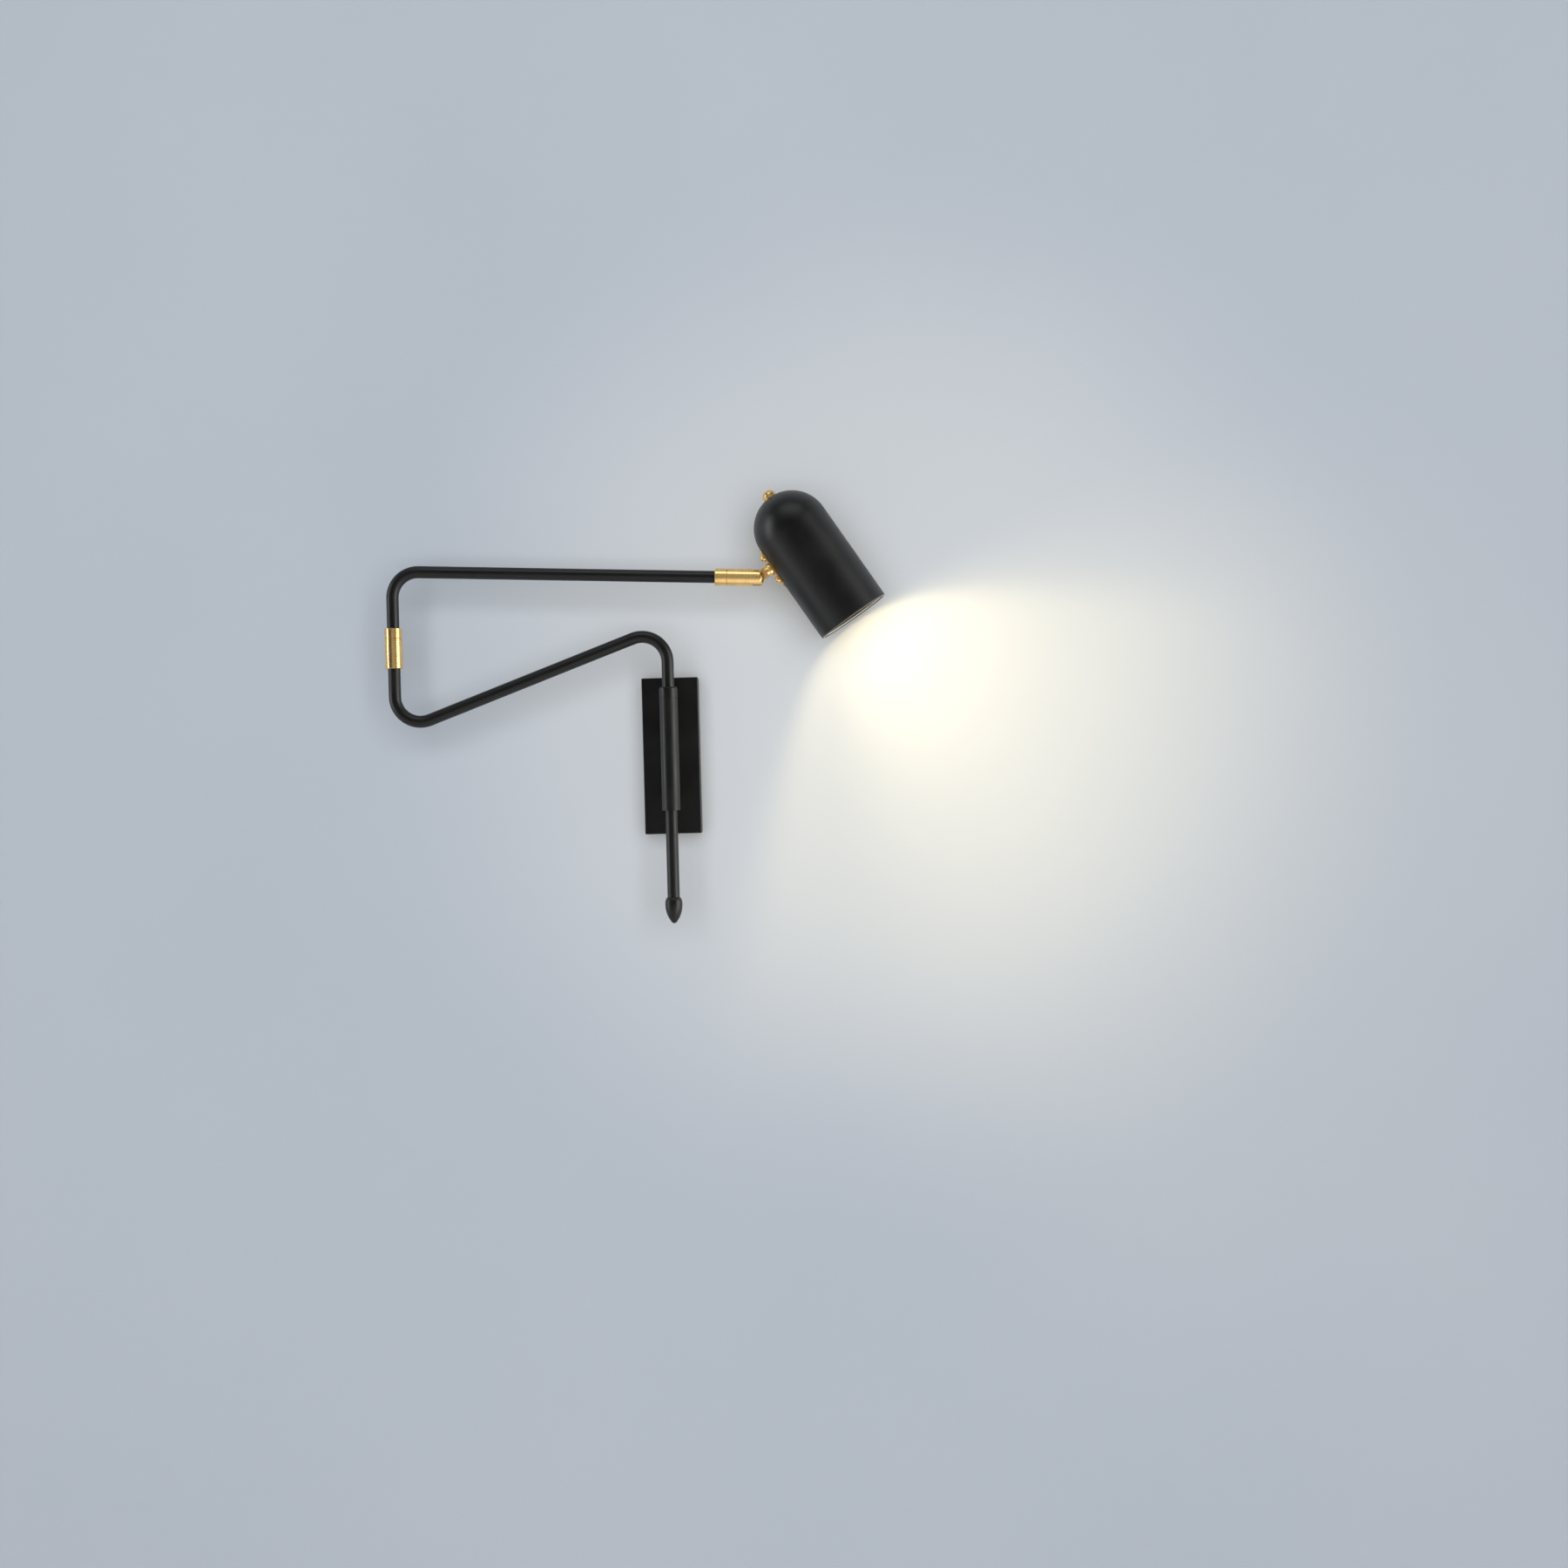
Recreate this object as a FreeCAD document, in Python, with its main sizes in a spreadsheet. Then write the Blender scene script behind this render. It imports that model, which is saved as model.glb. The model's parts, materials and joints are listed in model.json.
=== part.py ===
import FreeCAD, Part
import math
import os
import re

import Sketcher

# Wall-mounted swing arm lamp, in millimetres.
# X runs along the wall to the right, Z is up and Y runs into the wall. The origin is the centre of the
# wall bracket's back face, so the wall is the plane Y = 0 and the whole lamp stands in front of it.

DIMENSIONS = {
    # arms, along the centrelines of their tubes
    "tube_od": 12.0,
    "tube_bore": 9.0,
    "bend_radius": 25.0,
    "axis_gap": 50.0,
    "stem_bottom": 139.0,
    "stem_bend_height": 127.8,
    "arm_slant": 20.36,
    "elbow_reach": 268.0,
    "elbow_seam": 121.4,
    "droop": 2.43,
    "pivot_reach": 91.3,
    "pivot_height": 171.8,
    # cover and wall bracket
    "cover_width": 56.0,
    "cover_height": 155.0,
    "cover_depth": 25.0,
    "cover_wall": 1.5,
    "cover_edge_round": 1.0,
    "bracket_width": 44.0,
    "bracket_thick": 2.5,
    "bracket_fit": 0.3,
    "bracket_corner": 3.0,
    "earth_screw_offset": 14.7,
    "tab_width": 20.0,
    "tab_depth": 14.0,
    "cover_screw_depth": 8.0,
    "wall_hole_spacing": 110.0,
    "wall_hole_radius": 2.25,
    "entry_radius": 7.0,
    # fasteners
    "small_screw_radius": 1.5,
    "small_head_radius": 3.0,
    "small_head_height": 1.4,
    "small_screw_length": 7.0,
    "socket_radius": 1.0,
    "socket_depth": 1.0,
    # terminal block
    "block_width": 26.0,
    "block_bottom": 18.0,
    "block_top": 4.0,
    "block_thick": 12.0,
    "pole_pitch": 8.0,
    "wire_hole_radius": 1.8,
    "terminal_screw_radius": 1.7,
    "terminal_screw_length": 3.5,
    "terminal_recess": 1.0,
    "terminal_row_upper": 5.4,
    "terminal_row_lower": 16.6,
    "driver_slot": 0.7,
    "driver_slot_depth": 1.0,
    # pivot sleeve and its standoffs
    "sleeve_od": 18.0,
    "sleeve_bore": 15.0,
    "sleeve_top": 55.8,
    "sleeve_bottom": 53.9,
    "bush_length": 12.0,
    "running_gap": 0.05,
    "thrust_thick": 0.75,
    "thrust_inset": 0.4,
    "standoff_radius": 6.0,
    "upper_standoff": 30.0,
    "lower_standoff": 35.0,
    "nipple_radius": 5.0,
    "nipple_length": 11.0,
    "lead_bore_radius": 2.3,
    "standoff_nut_size": 14.0,
    "standoff_nut_thick": 4.0,
    "standoff_washer_radius": 8.0,
    "standoff_washer_thick": 1.0,
    # swing stop and cable window in the stem; the screw's steps are distances from the stem's axis
    "stop_radius": 2.0,
    "stop_dog_radius": 1.25,
    "stop_tip": 4.8,
    "stop_shoulder": 6.9,
    "stop_head": 9.6,
    "stop_slot_gap": 0.3,
    "stop_slot_angle": 209.0,
    "window_angle": 224.0,
    "window_height": 7.6,
    # collar and finial
    "collar_height": 10.3,
    "collar_round": 1.6,
    "finial_radius": 8.45,
    "finial_widest": 145.5,
    "finial_tip": 164.6,
    "finial_tip_radius": 2.9,
    "finial_tip_rise": 1.7,
    "finial_shoulder": 9.7,
    "finial_neck_radius": 6.85,
    "finial_neck_drop": 0.6,
    "finial_flank": 27.6,
    "insert_length": 10.0,
    "finial_stud_radius": 2.5,
    "finial_stud_length": 9.0,
    # swivels, measured from the seam between cap and barrel
    "swivel_radius": 8.5,
    "barrel_radius": 8.4,
    "seam_gap": 0.15,
    "seam_chamfer": 0.35,
    "spigot_radius": 6.4,
    "spigot_length": 3.0,
    "friction_washer_thick": 0.8,
    "shelf_thick": 4.5,
    "spindle_radius": 4.5,
    "spindle_thread_radius": 5.0,
    "spindle_tail_radius": 4.0,
    "spindle_bore_radius": 3.0,
    "spindle_head": 2.7,
    "spindle_proud": 1.0,
    "wave_washer_thick": 1.5,
    "swivel_nut_radius": 5.6,
    "swivel_nut_thick": 3.0,
    "nut_slot": 1.2,
    "nut_slot_depth": 1.0,
    "elbow_cap_length": 9.8,
    "elbow_socket_length": 29.5,
    "socket_tube_depth": 17.4,
    "ferrule_length": 11.6,
    "ferrule_tube_depth": 4.0,
    "barrel_length": 24.0,
    "grub_radius": 1.5,
    "grub_inset": 0.2,
    "socket_grub_station": 5.0,
    "cap_grub_station": 3.5,
    # knuckle
    "knuckle_length": 31.13,
    "clevis_tip": 5.6,
    "clevis_round": 5.0,
    "clevis_slot": 8.2,
    "clevis_slot_depth": 5.7,
    "clevis_spigot": 6.5,
    "pin_radius": 2.0,
    "pin_inner": 2.2,
    "pin_outer": 7.9,
    "pin_dome": 0.35,
    "tongue_radius": 5.25,
    "tongue_thick": 7.0,
    "tongue_slot": 4.0,
    "tongue_bore_radius": 2.0,
    "neck_radius": 5.0,
    "neck_start": 8.9,
    "neck_edge": 0.6,
    "flange_radius": 6.5,
    "flange_thick": 3.4,
    "flange_face": 15.4,
    "flange_edge": 0.5,
    "knuckle_washer_radius": 4.8,
    "knuckle_washer_thick": 0.5,
    "knuckle_washer_gap": 0.15,
    "stud_radius": 4.0,
    "stud_nut_size": 13.0,
    "stud_nut_thick": 4.0,
    "stud_nut_sag": 0.9,
    "stud_proud": 2.0,
    # head
    "head_tilt": 56.4,
    "head_offset": 54.4,
    "saddle_station": 57.9,
    "saddle_length": 42.4,
    "saddle_thick": 1.5,
    "saddle_angle": 18.0,
    "saddle_corner": 4.0,
    "saddle_screw_offset": 12.5,
    "saddle_head_radius": 3.5,
    "saddle_head_edge": 0.9,
    "saddle_head_dome": 2.7,
    "saddle_nut_size": 5.5,
    "saddle_nut_thick": 2.4,
    "saddle_nut_sag": 0.3,
    "shade_radius": 37.5,
    "shade_length": 142.0,
    "shade_wall": 1.2,
    "reflector_gap": 0.2,
    "reflector_wall": 0.8,
    "reflector_collar": 61.0,
    "reflector_collar_radius": 24.0,
    "reflector_cone": 79.0,
    "reflector_step": 126.0,
    "reflector_step_rise": 0.8,
    "reflector_step_length": 1.5,
    "lip_overlap": 0.9,
    "lip_thick": 1.2,
    "lip_edge": 0.5,
    # lampholder, along the shade's axis from the top of its dome
    "cap_nut_radius": 6.8,
    "cap_nut_height": 7.3,
    "cap_nut_dome": 4.4,
    "holder_nipple_radius": 5.0,
    "holder_nipple_bore": 3.5,
    "holder_nipple_top": 4.5,
    "dome_washer_radius": 7.0,
    "dome_washer_seat": 1.9,
    "dome_washer_thick": 1.0,
    "holder_top": 30.0,
    "holder_radius": 21.0,
    "holder_chamfer": 2.0,
    "holder_web": 36.0,
    "holder_floor": 42.0,
    "holder_neck_radius": 19.0,
    "holder_mouth": 68.0,
    "holder_bore_radius": 13.6,
    "shell_thick": 0.5,
    "shell_inset": 2.0,
    "ring_radius": 23.0,
    "ring_thick": 4.0,
    "contact_radius": 4.0,
    "contact_thick": 1.0,
    "terminal_offset": 11.0,
    # bulb
    "base_radius": 12.9,
    "base_contact_radius": 3.5,
    "base_contact_height": 1.5,
    "base_taper": 2.5,
    "base_taper_start": 4.5,
    "base_taper_end": 6.5,
    "base_end": 69.0,
    "bulb_foot_radius": 13.5,
    "bulb_flare_radius": 14.1,
    "bulb_flare_start": 71.0,
    "bulb_flare_curve": 40.0,
    "bulb_radius": 22.5,
    "bulb_centre": 98.5,
    "globe_seat": 87.0,
    "globe_start": 88.0,
    "globe_wall": 1.0,
    # cable
    "lead_radius": 1.6,
    "lead_bend": 5.0,
    "stem_lead_bend": 8.0,
    "stem_lead_top": 46.0,
    "supply_lead_end": 1.0,
    "head_lead_depth": 4.0,
    "lead_gap": 0.2,
    # a cut of this length goes through any piece
    "cut_through": 200.0,
}

doc = FreeCAD.newDocument("SwingArmWallLamp")
sheet = doc.addObject("Spreadsheet::Sheet", "Dims")
for row, (alias, size) in enumerate(DIMENSIONS.items(), start=1):
    sheet.set("A%d" % row, alias)
    sheet.set("B%d" % row, str(size))
    sheet.setAlias("B%d" % row, alias)
doc.recompute()

# Places: a position and a turn about one axis. Y_AXIS turns lie in the plane of the arms.
X_AXIS = (1, 0, 0)
Y_AXIS = (0, 1, 0)
STEM = {"y": "-axis_gap"}
ELBOW = {"x": "-elbow_reach", "y": "-axis_gap", "z": "elbow_seam", "turn": "180"}
HEAD_SEAM = {
    "x": "pivot_reach - knuckle_length * cos(droop)",
    "y": "-axis_gap",
    "z": "pivot_height + knuckle_length * sin(droop)",
    "turn": "90 + droop",
}
TONGUE = {"x": "pivot_reach", "y": "-axis_gap", "z": "pivot_height", "turn": "head_tilt"}
SHADE = {
    "x": "pivot_reach + head_offset * sin(head_tilt) - saddle_station * cos(head_tilt)",
    "y": "-axis_gap",
    "z": "pivot_height + head_offset * cos(head_tilt) + saddle_station * sin(head_tilt)",
    "turn": "90 + head_tilt",
}

# Heights along a swivel's axis, counted from its seam into the barrel.
COUNTERBORE_END = "(spigot_length + friction_washer_thick)"
SHELF_END = "(spigot_length + friction_washer_thick + shelf_thick)"
WAVE_WASHER_END = "(spigot_length + friction_washer_thick + shelf_thick + wave_washer_thick)"
SWIVEL_NUT_END = "(" + WAVE_WASHER_END + " + swivel_nut_thick)"


# ---- formulas, places and checks ----

def bound(formula):
    """Write a formula of aliases the way an object's expression needs it."""
    return re.sub(r"[a-z]\w*", lambda word: ("Dims." if word[0] in DIMENSIONS else "") + word[0], formula)


def value(formula):
    """Work a formula of aliases out to a plain number."""
    return FreeCAD.Units.Quantity(sheet.evalExpression(formula)).Value


def bind(item, formulas):
    """Bind an object's properties to formulas of the sheet's aliases."""
    for name, formula in formulas.items():
        item.setExpression(name, bound(formula))


def place(item, x="0", y="0", z="0", turn="0", axis=Y_AXIS):
    """Move an item to a place given by formulas and return it."""
    item.Placement = FreeCAD.Placement(FreeCAD.Vector(), FreeCAD.Rotation(FreeCAD.Vector(*axis), 1))
    bind(item, {
        "Placement.Base.x": x,
        "Placement.Base.y": y,
        "Placement.Base.z": z,
        "Placement.Rotation.Angle": turn,
    })
    return item


def new_body(label):
    """Start a PartDesign body."""
    body = doc.addObject("PartDesign::Body", label)
    body.Label = label
    return body


def origin_plane(body, role):
    """Find one of a body's own origin planes."""
    return next(item for item in body.Origin.OriginFeatures if item.Role == role)


# ---- sketches ----

def new_sketch(body, role, offset="0"):
    """Attach a sketch to an origin plane of its body, moved along the plane's normal."""
    sketch = body.newObject("Sketcher::SketchObject", body.Name + "_sketch")
    sketch.AttachmentSupport = [(origin_plane(body, role), "")]
    sketch.MapMode = "FlatFace"
    bind(sketch, {"AttachmentOffset.Base.z": offset})
    return sketch


def fix_point(sketch, edge, end, x, y):
    """Hold one end of an edge at a place given by two formulas."""
    for kind, formula in (("DistanceX", x), ("DistanceY", y)):
        index = sketch.addConstraint(Sketcher.Constraint(kind, -1, 1, edge, end, value(formula)))
        sketch.setExpression("Constraints[%d]" % index, bound(formula))


def fix_radius(sketch, edge, formula):
    """Hold a circle's or an arc's radius at a formula."""
    index = sketch.addConstraint(Sketcher.Constraint("Radius", edge, value(formula)))
    sketch.setExpression("Constraints[%d]" % index, bound(formula))


def draw_arc(sketch, start, end, radius):
    """Add the short arc from start to end, anticlockwise for a positive radius, clockwise for a negative one.
    Returns the arc's number and which of its ends are the start and the end."""
    if radius < 0:
        edge, last, first = draw_arc(sketch, end, start, -radius)
        return edge, first, last
    chord = end - start
    rise = (radius ** 2 - (chord.Length / 2) ** 2) ** 0.5
    left = FreeCAD.Vector(-chord.y, chord.x, 0).normalize()
    centre = (start + end) / 2 + left * rise
    middle = centre - left * radius
    return sketch.addGeometry(Part.Arc(start, middle, end)), 1, 2


def outline(sketch, corners):
    """Draw a closed outline. A corner is (x, y), or (x, y, radius) where the stretch that leaves it is the
    short arc of that radius: anticlockwise, or clockwise with a minus sign."""
    points = [FreeCAD.Vector(value(corner[0]), value(corner[1]), 0) for corner in corners]
    ends = []
    for index, corner in enumerate(corners):
        start = points[index]
        end = points[(index + 1) % len(points)]
        if len(corner) == 3:
            ends.append(draw_arc(sketch, start, end, value(corner[2])))
        else:
            ends.append((sketch.addGeometry(Part.LineSegment(start, end)), 1, 2))
    for index, (edge, first, last) in enumerate(ends):
        following, following_first, _ = ends[(index + 1) % len(ends)]
        sketch.addConstraint(Sketcher.Constraint("Coincident", edge, last, following, following_first))
    for corner, (edge, first, last) in zip(corners, ends):
        fix_point(sketch, edge, first, corner[0], corner[1])
        if len(corner) == 3:
            fix_radius(sketch, edge, corner[2].lstrip("-"))


def circle(sketch, x, y, radius):
    """Draw a circle."""
    centre = FreeCAD.Vector(value(x), value(y), 0)
    edge = sketch.addGeometry(Part.Circle(centre, FreeCAD.Vector(0, 0, 1), value(radius)))
    fix_point(sketch, edge, 3, x, y)
    fix_radius(sketch, edge, radius)


def rectangle(sketch, left, bottom, right, top):
    """Draw a rectangle between two corners."""
    outline(sketch, [(left, bottom), (right, bottom), (right, top), (left, top)])


def dome(rise, radius):
    """Radius of the arc that closes a round end of a given rise and radius on its axis."""
    return "((%s) ^ 2 + (%s) ^ 2) / (2 * (%s))" % (rise, radius, rise)


def route(sketch, corners):
    """Draw an open route of straight runs joined by tangent arcs. The inner corners are (x, y, radius)."""
    points = [FreeCAD.Vector(value(corner[0]), value(corner[1]), 0) for corner in corners]
    run_start = points[0]
    previous = None
    for before, corner, after, spec in zip(points, points[1:], points[2:], corners[1:]):
        arriving = (corner - before).normalize()
        leaving = (after - corner).normalize()
        reach = value(spec[2]) * math.tan(arriving.getAngle(leaving) / 2)
        run = sketch.addGeometry(Part.LineSegment(run_start, corner - arriving * reach))
        run_start = corner + leaving * reach
        side = 1 if arriving.cross(leaving).z > 0 else -1
        bend, first, last = draw_arc(sketch, corner - arriving * reach, run_start, side * value(spec[2]))
        join_runs(sketch, previous, run)
        sketch.addConstraint(Sketcher.Constraint("Tangent", run, 2, bend, first))
        fix_radius(sketch, bend, spec[2])
        hold_corner(sketch, run, spec)
        previous = (bend, last, spec)
    run = sketch.addGeometry(Part.LineSegment(run_start, points[-1]))
    join_runs(sketch, previous, run)
    fix_point(sketch, 0, 1, corners[0][0], corners[0][1])
    fix_point(sketch, run, 2, corners[-1][0], corners[-1][1])


def hold_corner(sketch, run, corner):
    """Make a run's line pass through a corner of the route."""
    centre = FreeCAD.Vector(value(corner[0]), value(corner[1]), 0)
    point = sketch.addGeometry(Part.Point(centre), True)
    sketch.addConstraint(Sketcher.Constraint("PointOnObject", point, 1, run))
    fix_point(sketch, point, 1, corner[0], corner[1])


def join_runs(sketch, previous, run):
    """Join a run to the bend before it, if there is one, and aim it at that bend's corner."""
    if previous is not None:
        bend, last, corner = previous
        sketch.addConstraint(Sketcher.Constraint("Tangent", bend, last, run, 1))
        hold_corner(sketch, run, corner)


# ---- features ----

def add_feature(body, kind, sketch, formulas, settings=None):
    """Add a sketched PartDesign feature, with formulas for its sizes and plain values for its settings."""
    feature = body.newObject("PartDesign::" + kind, body.Name + "_" + kind.lower())
    feature.Profile = sketch
    for name, setting in (settings or {}).items():
        setattr(feature, name, setting)
    bind(feature, formulas)
    return feature


def pad(body, sketch, length, backwards=False, both_ways=False):
    """Pad a sketch along its plane's normal, against it, or by half the length each way."""
    settings = {"Reversed": backwards, "SideType": "Symmetric" if both_ways else "One side"}
    return add_feature(body, "Pad", sketch, {"Length": length}, settings)


def pocket(body, sketch, length, forwards=False, both_ways=False):
    """Cut a sketch against its plane's normal, along it, or by half the length each way."""
    doc.recompute()
    volume = body.Shape.Volume
    settings = {"Reversed": forwards, "SideType": "Symmetric" if both_ways else "One side"}
    cut = add_feature(body, "Pocket", sketch, {"Length": length}, settings)
    doc.recompute()
    if body.Shape.Volume >= volume:
        raise ValueError(body.Label + ": a pocket cuts nothing")
    return cut


def turn_outline(body, corners, kind="Revolution", angle="360"):
    """Turn an outline of (radius, height) corners about the body's Z axis, to add it or to cut it away."""
    sketch = new_sketch(body, "XZ_Plane")
    outline(sketch, corners)
    settings = {"ReferenceAxis": (sketch, ["V_Axis"]), "Midplane": True}
    return add_feature(body, kind, sketch, {"Angle": angle}, settings)


def round_edges(body, feature, radius, chosen):
    """Round the edges of a feature that a test picks."""
    doc.recompute()
    names = ["Edge%d" % number for number, edge in enumerate(feature.Shape.Edges, start=1) if chosen(edge)]
    fillet = body.newObject("PartDesign::Fillet", body.Name + "_fillet")
    fillet.Base = (feature, names)
    bind(fillet, {"Radius": radius})
    return fillet


def runs_along(edge, axis):
    """Tell whether an edge is straight and parallel to an axis."""
    if type(edge.Curve).__name__ != "Line":
        return False
    return edge.Curve.Direction.cross(FreeCAD.Vector(*axis)).Length < 1e-6


# ---- pieces used more than once ----

def turned(label, corners):
    """A piece turned on a lathe, from its outline of (radius, height) corners."""
    body = new_body(label)
    turn_outline(body, corners)
    return body


def ring(label, inner, outer, bottom, top):
    """A plain turned ring, such as a washer or a bush."""
    return turned(label, [(inner, bottom), (outer, bottom), (outer, top), (inner, top)])


def cross_hole(body, height, radius, length):
    """Drill a hole from the body's axis towards +Y at a height."""
    sketch = new_sketch(body, "XZ_Plane")
    circle(sketch, "0", height, radius)
    pocket(body, sketch, length)


def bent_rod(label, role, corners, outer, inner=None):
    """A tube or a solid rod along a route that starts upwards in an origin plane."""
    body = new_body(label)
    path = new_sketch(body, role)
    route(path, corners)
    start = corners[0]
    centre = (start[0], "0") if role == "XZ_Plane" else ("0", start[0])
    section = new_sketch(body, "XY_Plane", start[1])
    circle(section, centre[0], centre[1], outer)
    if inner:
        circle(section, centre[0], centre[1], inner)
    doc.recompute()
    pipe = body.newObject("PartDesign::AdditivePipe", label + "_pipe")
    pipe.Profile = section
    pipe.Spine = (path, ["Edge%d" % number for number in range(1, len(path.Shape.Edges) + 1)])
    return body


def hex_nut(label, size, thick, bore, height="0"):
    """A hexagonal nut with its lower face at a height."""
    body = new_body(label)
    prism = body.newObject("PartDesign::AdditivePrism", label + "_hexagon")
    prism.Polygon = 6
    bind(prism, {"Circumradius": size + " / sqrt(3)", "Height": thick, "Placement.Base.z": height})
    sketch = new_sketch(body, "XY_Plane", height)
    circle(sketch, "0", "0", bore)
    pocket(body, sketch, thick, forwards=True)
    return body


def sink_socket(body, top, radius="socket_radius", depth="socket_depth"):
    """Cut a hexagonal key socket down from the top of a screw."""
    socket = body.newObject("PartDesign::SubtractivePrism", body.Name + "_socket")
    socket.Polygon = 6
    bind(socket, {"Circumradius": radius, "Height": depth, "Placement.Base.z": "%s - %s" % (top, depth)})


def grub_screw(label, bottom, top):
    """A headless screw with a key socket in its upper end."""
    body = turned(label, [("0", bottom), ("grub_radius", bottom), ("grub_radius", top), ("0", top)])
    sink_socket(body, top)
    return body


def group(label, pieces):
    """Keep identical pieces together as one node of separate solids."""
    compound = doc.addObject("Part::Compound", label)
    compound.Label = label
    compound.Links = pieces
    return compound


# ---- wall bracket, cover and terminals ----

def backplate_cover():
    """Pressed steel box, open at the wall, that hides the bracket and carries the pivot sleeve."""
    body = new_body("backplate_cover")
    face = new_sketch(body, "XZ_Plane")
    rectangle(face, "-cover_width / 2", "-cover_height / 2", "cover_width / 2", "cover_height / 2")
    block = pad(body, face, "cover_depth")
    depth = value("cover_depth")
    round_edges(body, block, "cover_edge_round", lambda edge: edge.BoundBox.YMin < -depth / 4)
    inside = new_sketch(body, "XZ_Plane")
    half_width = "(cover_width / 2 - cover_wall)"
    half_height = "(cover_height / 2 - cover_wall)"
    rectangle(inside, "-" + half_width, "-" + half_height, half_width, half_height)
    pocket(body, inside, "cover_depth - cover_wall", forwards=True)
    holes = new_sketch(body, "XZ_Plane")
    circle(holes, "0", "upper_standoff", "nipple_radius")
    circle(holes, "0", "-lower_standoff", "nipple_radius")
    pocket(body, holes, "cut_through", both_ways=True)
    sink = body.newObject("PartDesign::SubtractiveCone", "cover_screw_hole")
    bind(sink, {
        "Radius1": "small_screw_radius",
        "Radius2": "small_head_radius",
        "Height": "cover_wall",
        "Placement.Base.y": "-cover_screw_depth",
        "Placement.Base.z": "cover_height / 2 - cover_wall",
    })
    mirror = body.newObject("PartDesign::Mirrored", "cover_screw_hole_below")
    mirror.Originals = [sink]
    mirror.MirrorPlane = (origin_plane(body, "XY_Plane"), [""])
    body.Tip = mirror
    return body


def wall_bracket():
    """Steel strap screwed to the wall, with a bent tab at each end for the cover's screws."""
    body = new_body("wall_bracket")
    plate = new_sketch(body, "XZ_Plane")
    half_height = "(cover_height / 2 - cover_wall - bracket_fit)"
    rectangle(plate, "-bracket_width / 2", "-" + half_height, "bracket_width / 2", half_height)
    strap = pad(body, plate, "bracket_thick")
    round_edges(body, strap, "bracket_corner", lambda edge: runs_along(edge, Y_AXIS))
    tabs = new_sketch(body, "XZ_Plane")
    tab_inside = "(cover_height / 2 - cover_wall - bracket_fit - bracket_thick)"
    rectangle(tabs, "-tab_width / 2", tab_inside, "tab_width / 2", half_height)
    rectangle(tabs, "-tab_width / 2", "-" + half_height, "tab_width / 2", "-" + tab_inside)
    pad(body, tabs, "tab_depth")
    holes = new_sketch(body, "XZ_Plane")
    circle(holes, "0", "wall_hole_spacing / 2", "wall_hole_radius")
    circle(holes, "0", "-wall_hole_spacing / 2", "wall_hole_radius")
    circle(holes, "0", "upper_standoff", "entry_radius")
    circle(holes, "earth_screw_offset", "wall_hole_spacing / 2", "small_screw_radius")
    pocket(body, holes, "bracket_thick", forwards=True)
    threads = new_sketch(body, "XY_Plane")
    circle(threads, "0", "-cover_screw_depth", "small_screw_radius")
    pocket(body, threads, "cut_through", both_ways=True)
    return body


def countersunk_screw(label):
    """A countersunk screw whose head is flush with Z = 0 and whose shank points down."""
    body = turned(label, [
        ("0", "0"),
        ("0", "-small_screw_length"),
        ("small_screw_radius", "-small_screw_length"),
        ("small_screw_radius", "-small_head_height"),
        ("small_head_radius", "0"),
    ])
    sink_socket(body, "0")
    return body


def cover_screws():
    """The two screws that hold the cover on the bracket, at its top and bottom edges."""
    top = countersunk_screw("cover_screw_top")
    bottom = countersunk_screw("cover_screw_bottom")
    place(top, y="-cover_screw_depth", z="cover_height / 2")
    place(bottom, y="-cover_screw_depth", z="-cover_height / 2", turn="180")
    return group("cover_screws", [top, bottom])


TERMINAL_ROWS = ("block_top - terminal_row_upper", "block_top - terminal_row_lower")


def terminal_block():
    """Three-pole terminal block on the bracket."""
    body = new_body("terminal_block")
    face = new_sketch(body, "XZ_Plane", "bracket_thick")
    rectangle(face, "-block_width / 2", "-block_bottom", "block_width / 2", "block_top")
    block = pad(body, face, "block_thick")
    round_edges(body, block, "cover_edge_round", lambda edge: runs_along(edge, Y_AXIS))
    wires = new_sketch(body, "XY_Plane")
    for pole in (-1, 0, 1):
        circle(wires, "%d * pole_pitch" % pole, "-bracket_thick - block_thick / 2", "wire_hole_radius")
    pocket(body, wires, "cut_through", both_ways=True)
    screws = new_sketch(body, "XZ_Plane", "bracket_thick + block_thick")
    for pole in (-1, 0, 1):
        for row in TERMINAL_ROWS:
            circle(screws, "%d * pole_pitch" % pole, row, "terminal_screw_radius")
    pocket(body, screws, "terminal_screw_length")
    return body


def terminal_screws():
    """Six slotted screws of the terminal block."""
    screws = []
    top = "(terminal_screw_length - terminal_recess)"
    for pole in (-1, 0, 1):
        for row in TERMINAL_ROWS:
            screw = turned("terminal_screw_%d" % (len(screws) + 1), [
                ("0", "0"),
                ("terminal_screw_radius", "0"),
                ("terminal_screw_radius", top),
                ("0", top),
            ])
            slot = new_sketch(screw, "XZ_Plane")
            rectangle(slot, "-driver_slot / 2", top + " - driver_slot_depth", "driver_slot / 2", top)
            pocket(screw, slot, "cut_through", both_ways=True)
            deep = "-bracket_thick - block_thick + terminal_screw_length"
            place(screw, "%d * pole_pitch" % pole, deep, row, "90", X_AXIS)
            screws.append(screw)
    return group("terminal_screws", screws)


def earth_screw():
    """Earth screw beside the upper wall hole."""
    body = turned("earth_screw", [
        ("0", "0"),
        ("small_screw_radius", "0"),
        ("small_screw_radius", "bracket_thick"),
        ("small_head_radius", "bracket_thick"),
        ("small_head_radius", "bracket_thick + small_head_height"),
        ("0", "bracket_thick + small_head_height"),
    ])
    sink_socket(body, "bracket_thick + small_head_height")
    return place(body, "earth_screw_offset", "0", "wall_hole_spacing / 2", "90", X_AXIS)


# ---- pivot sleeve ----

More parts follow.
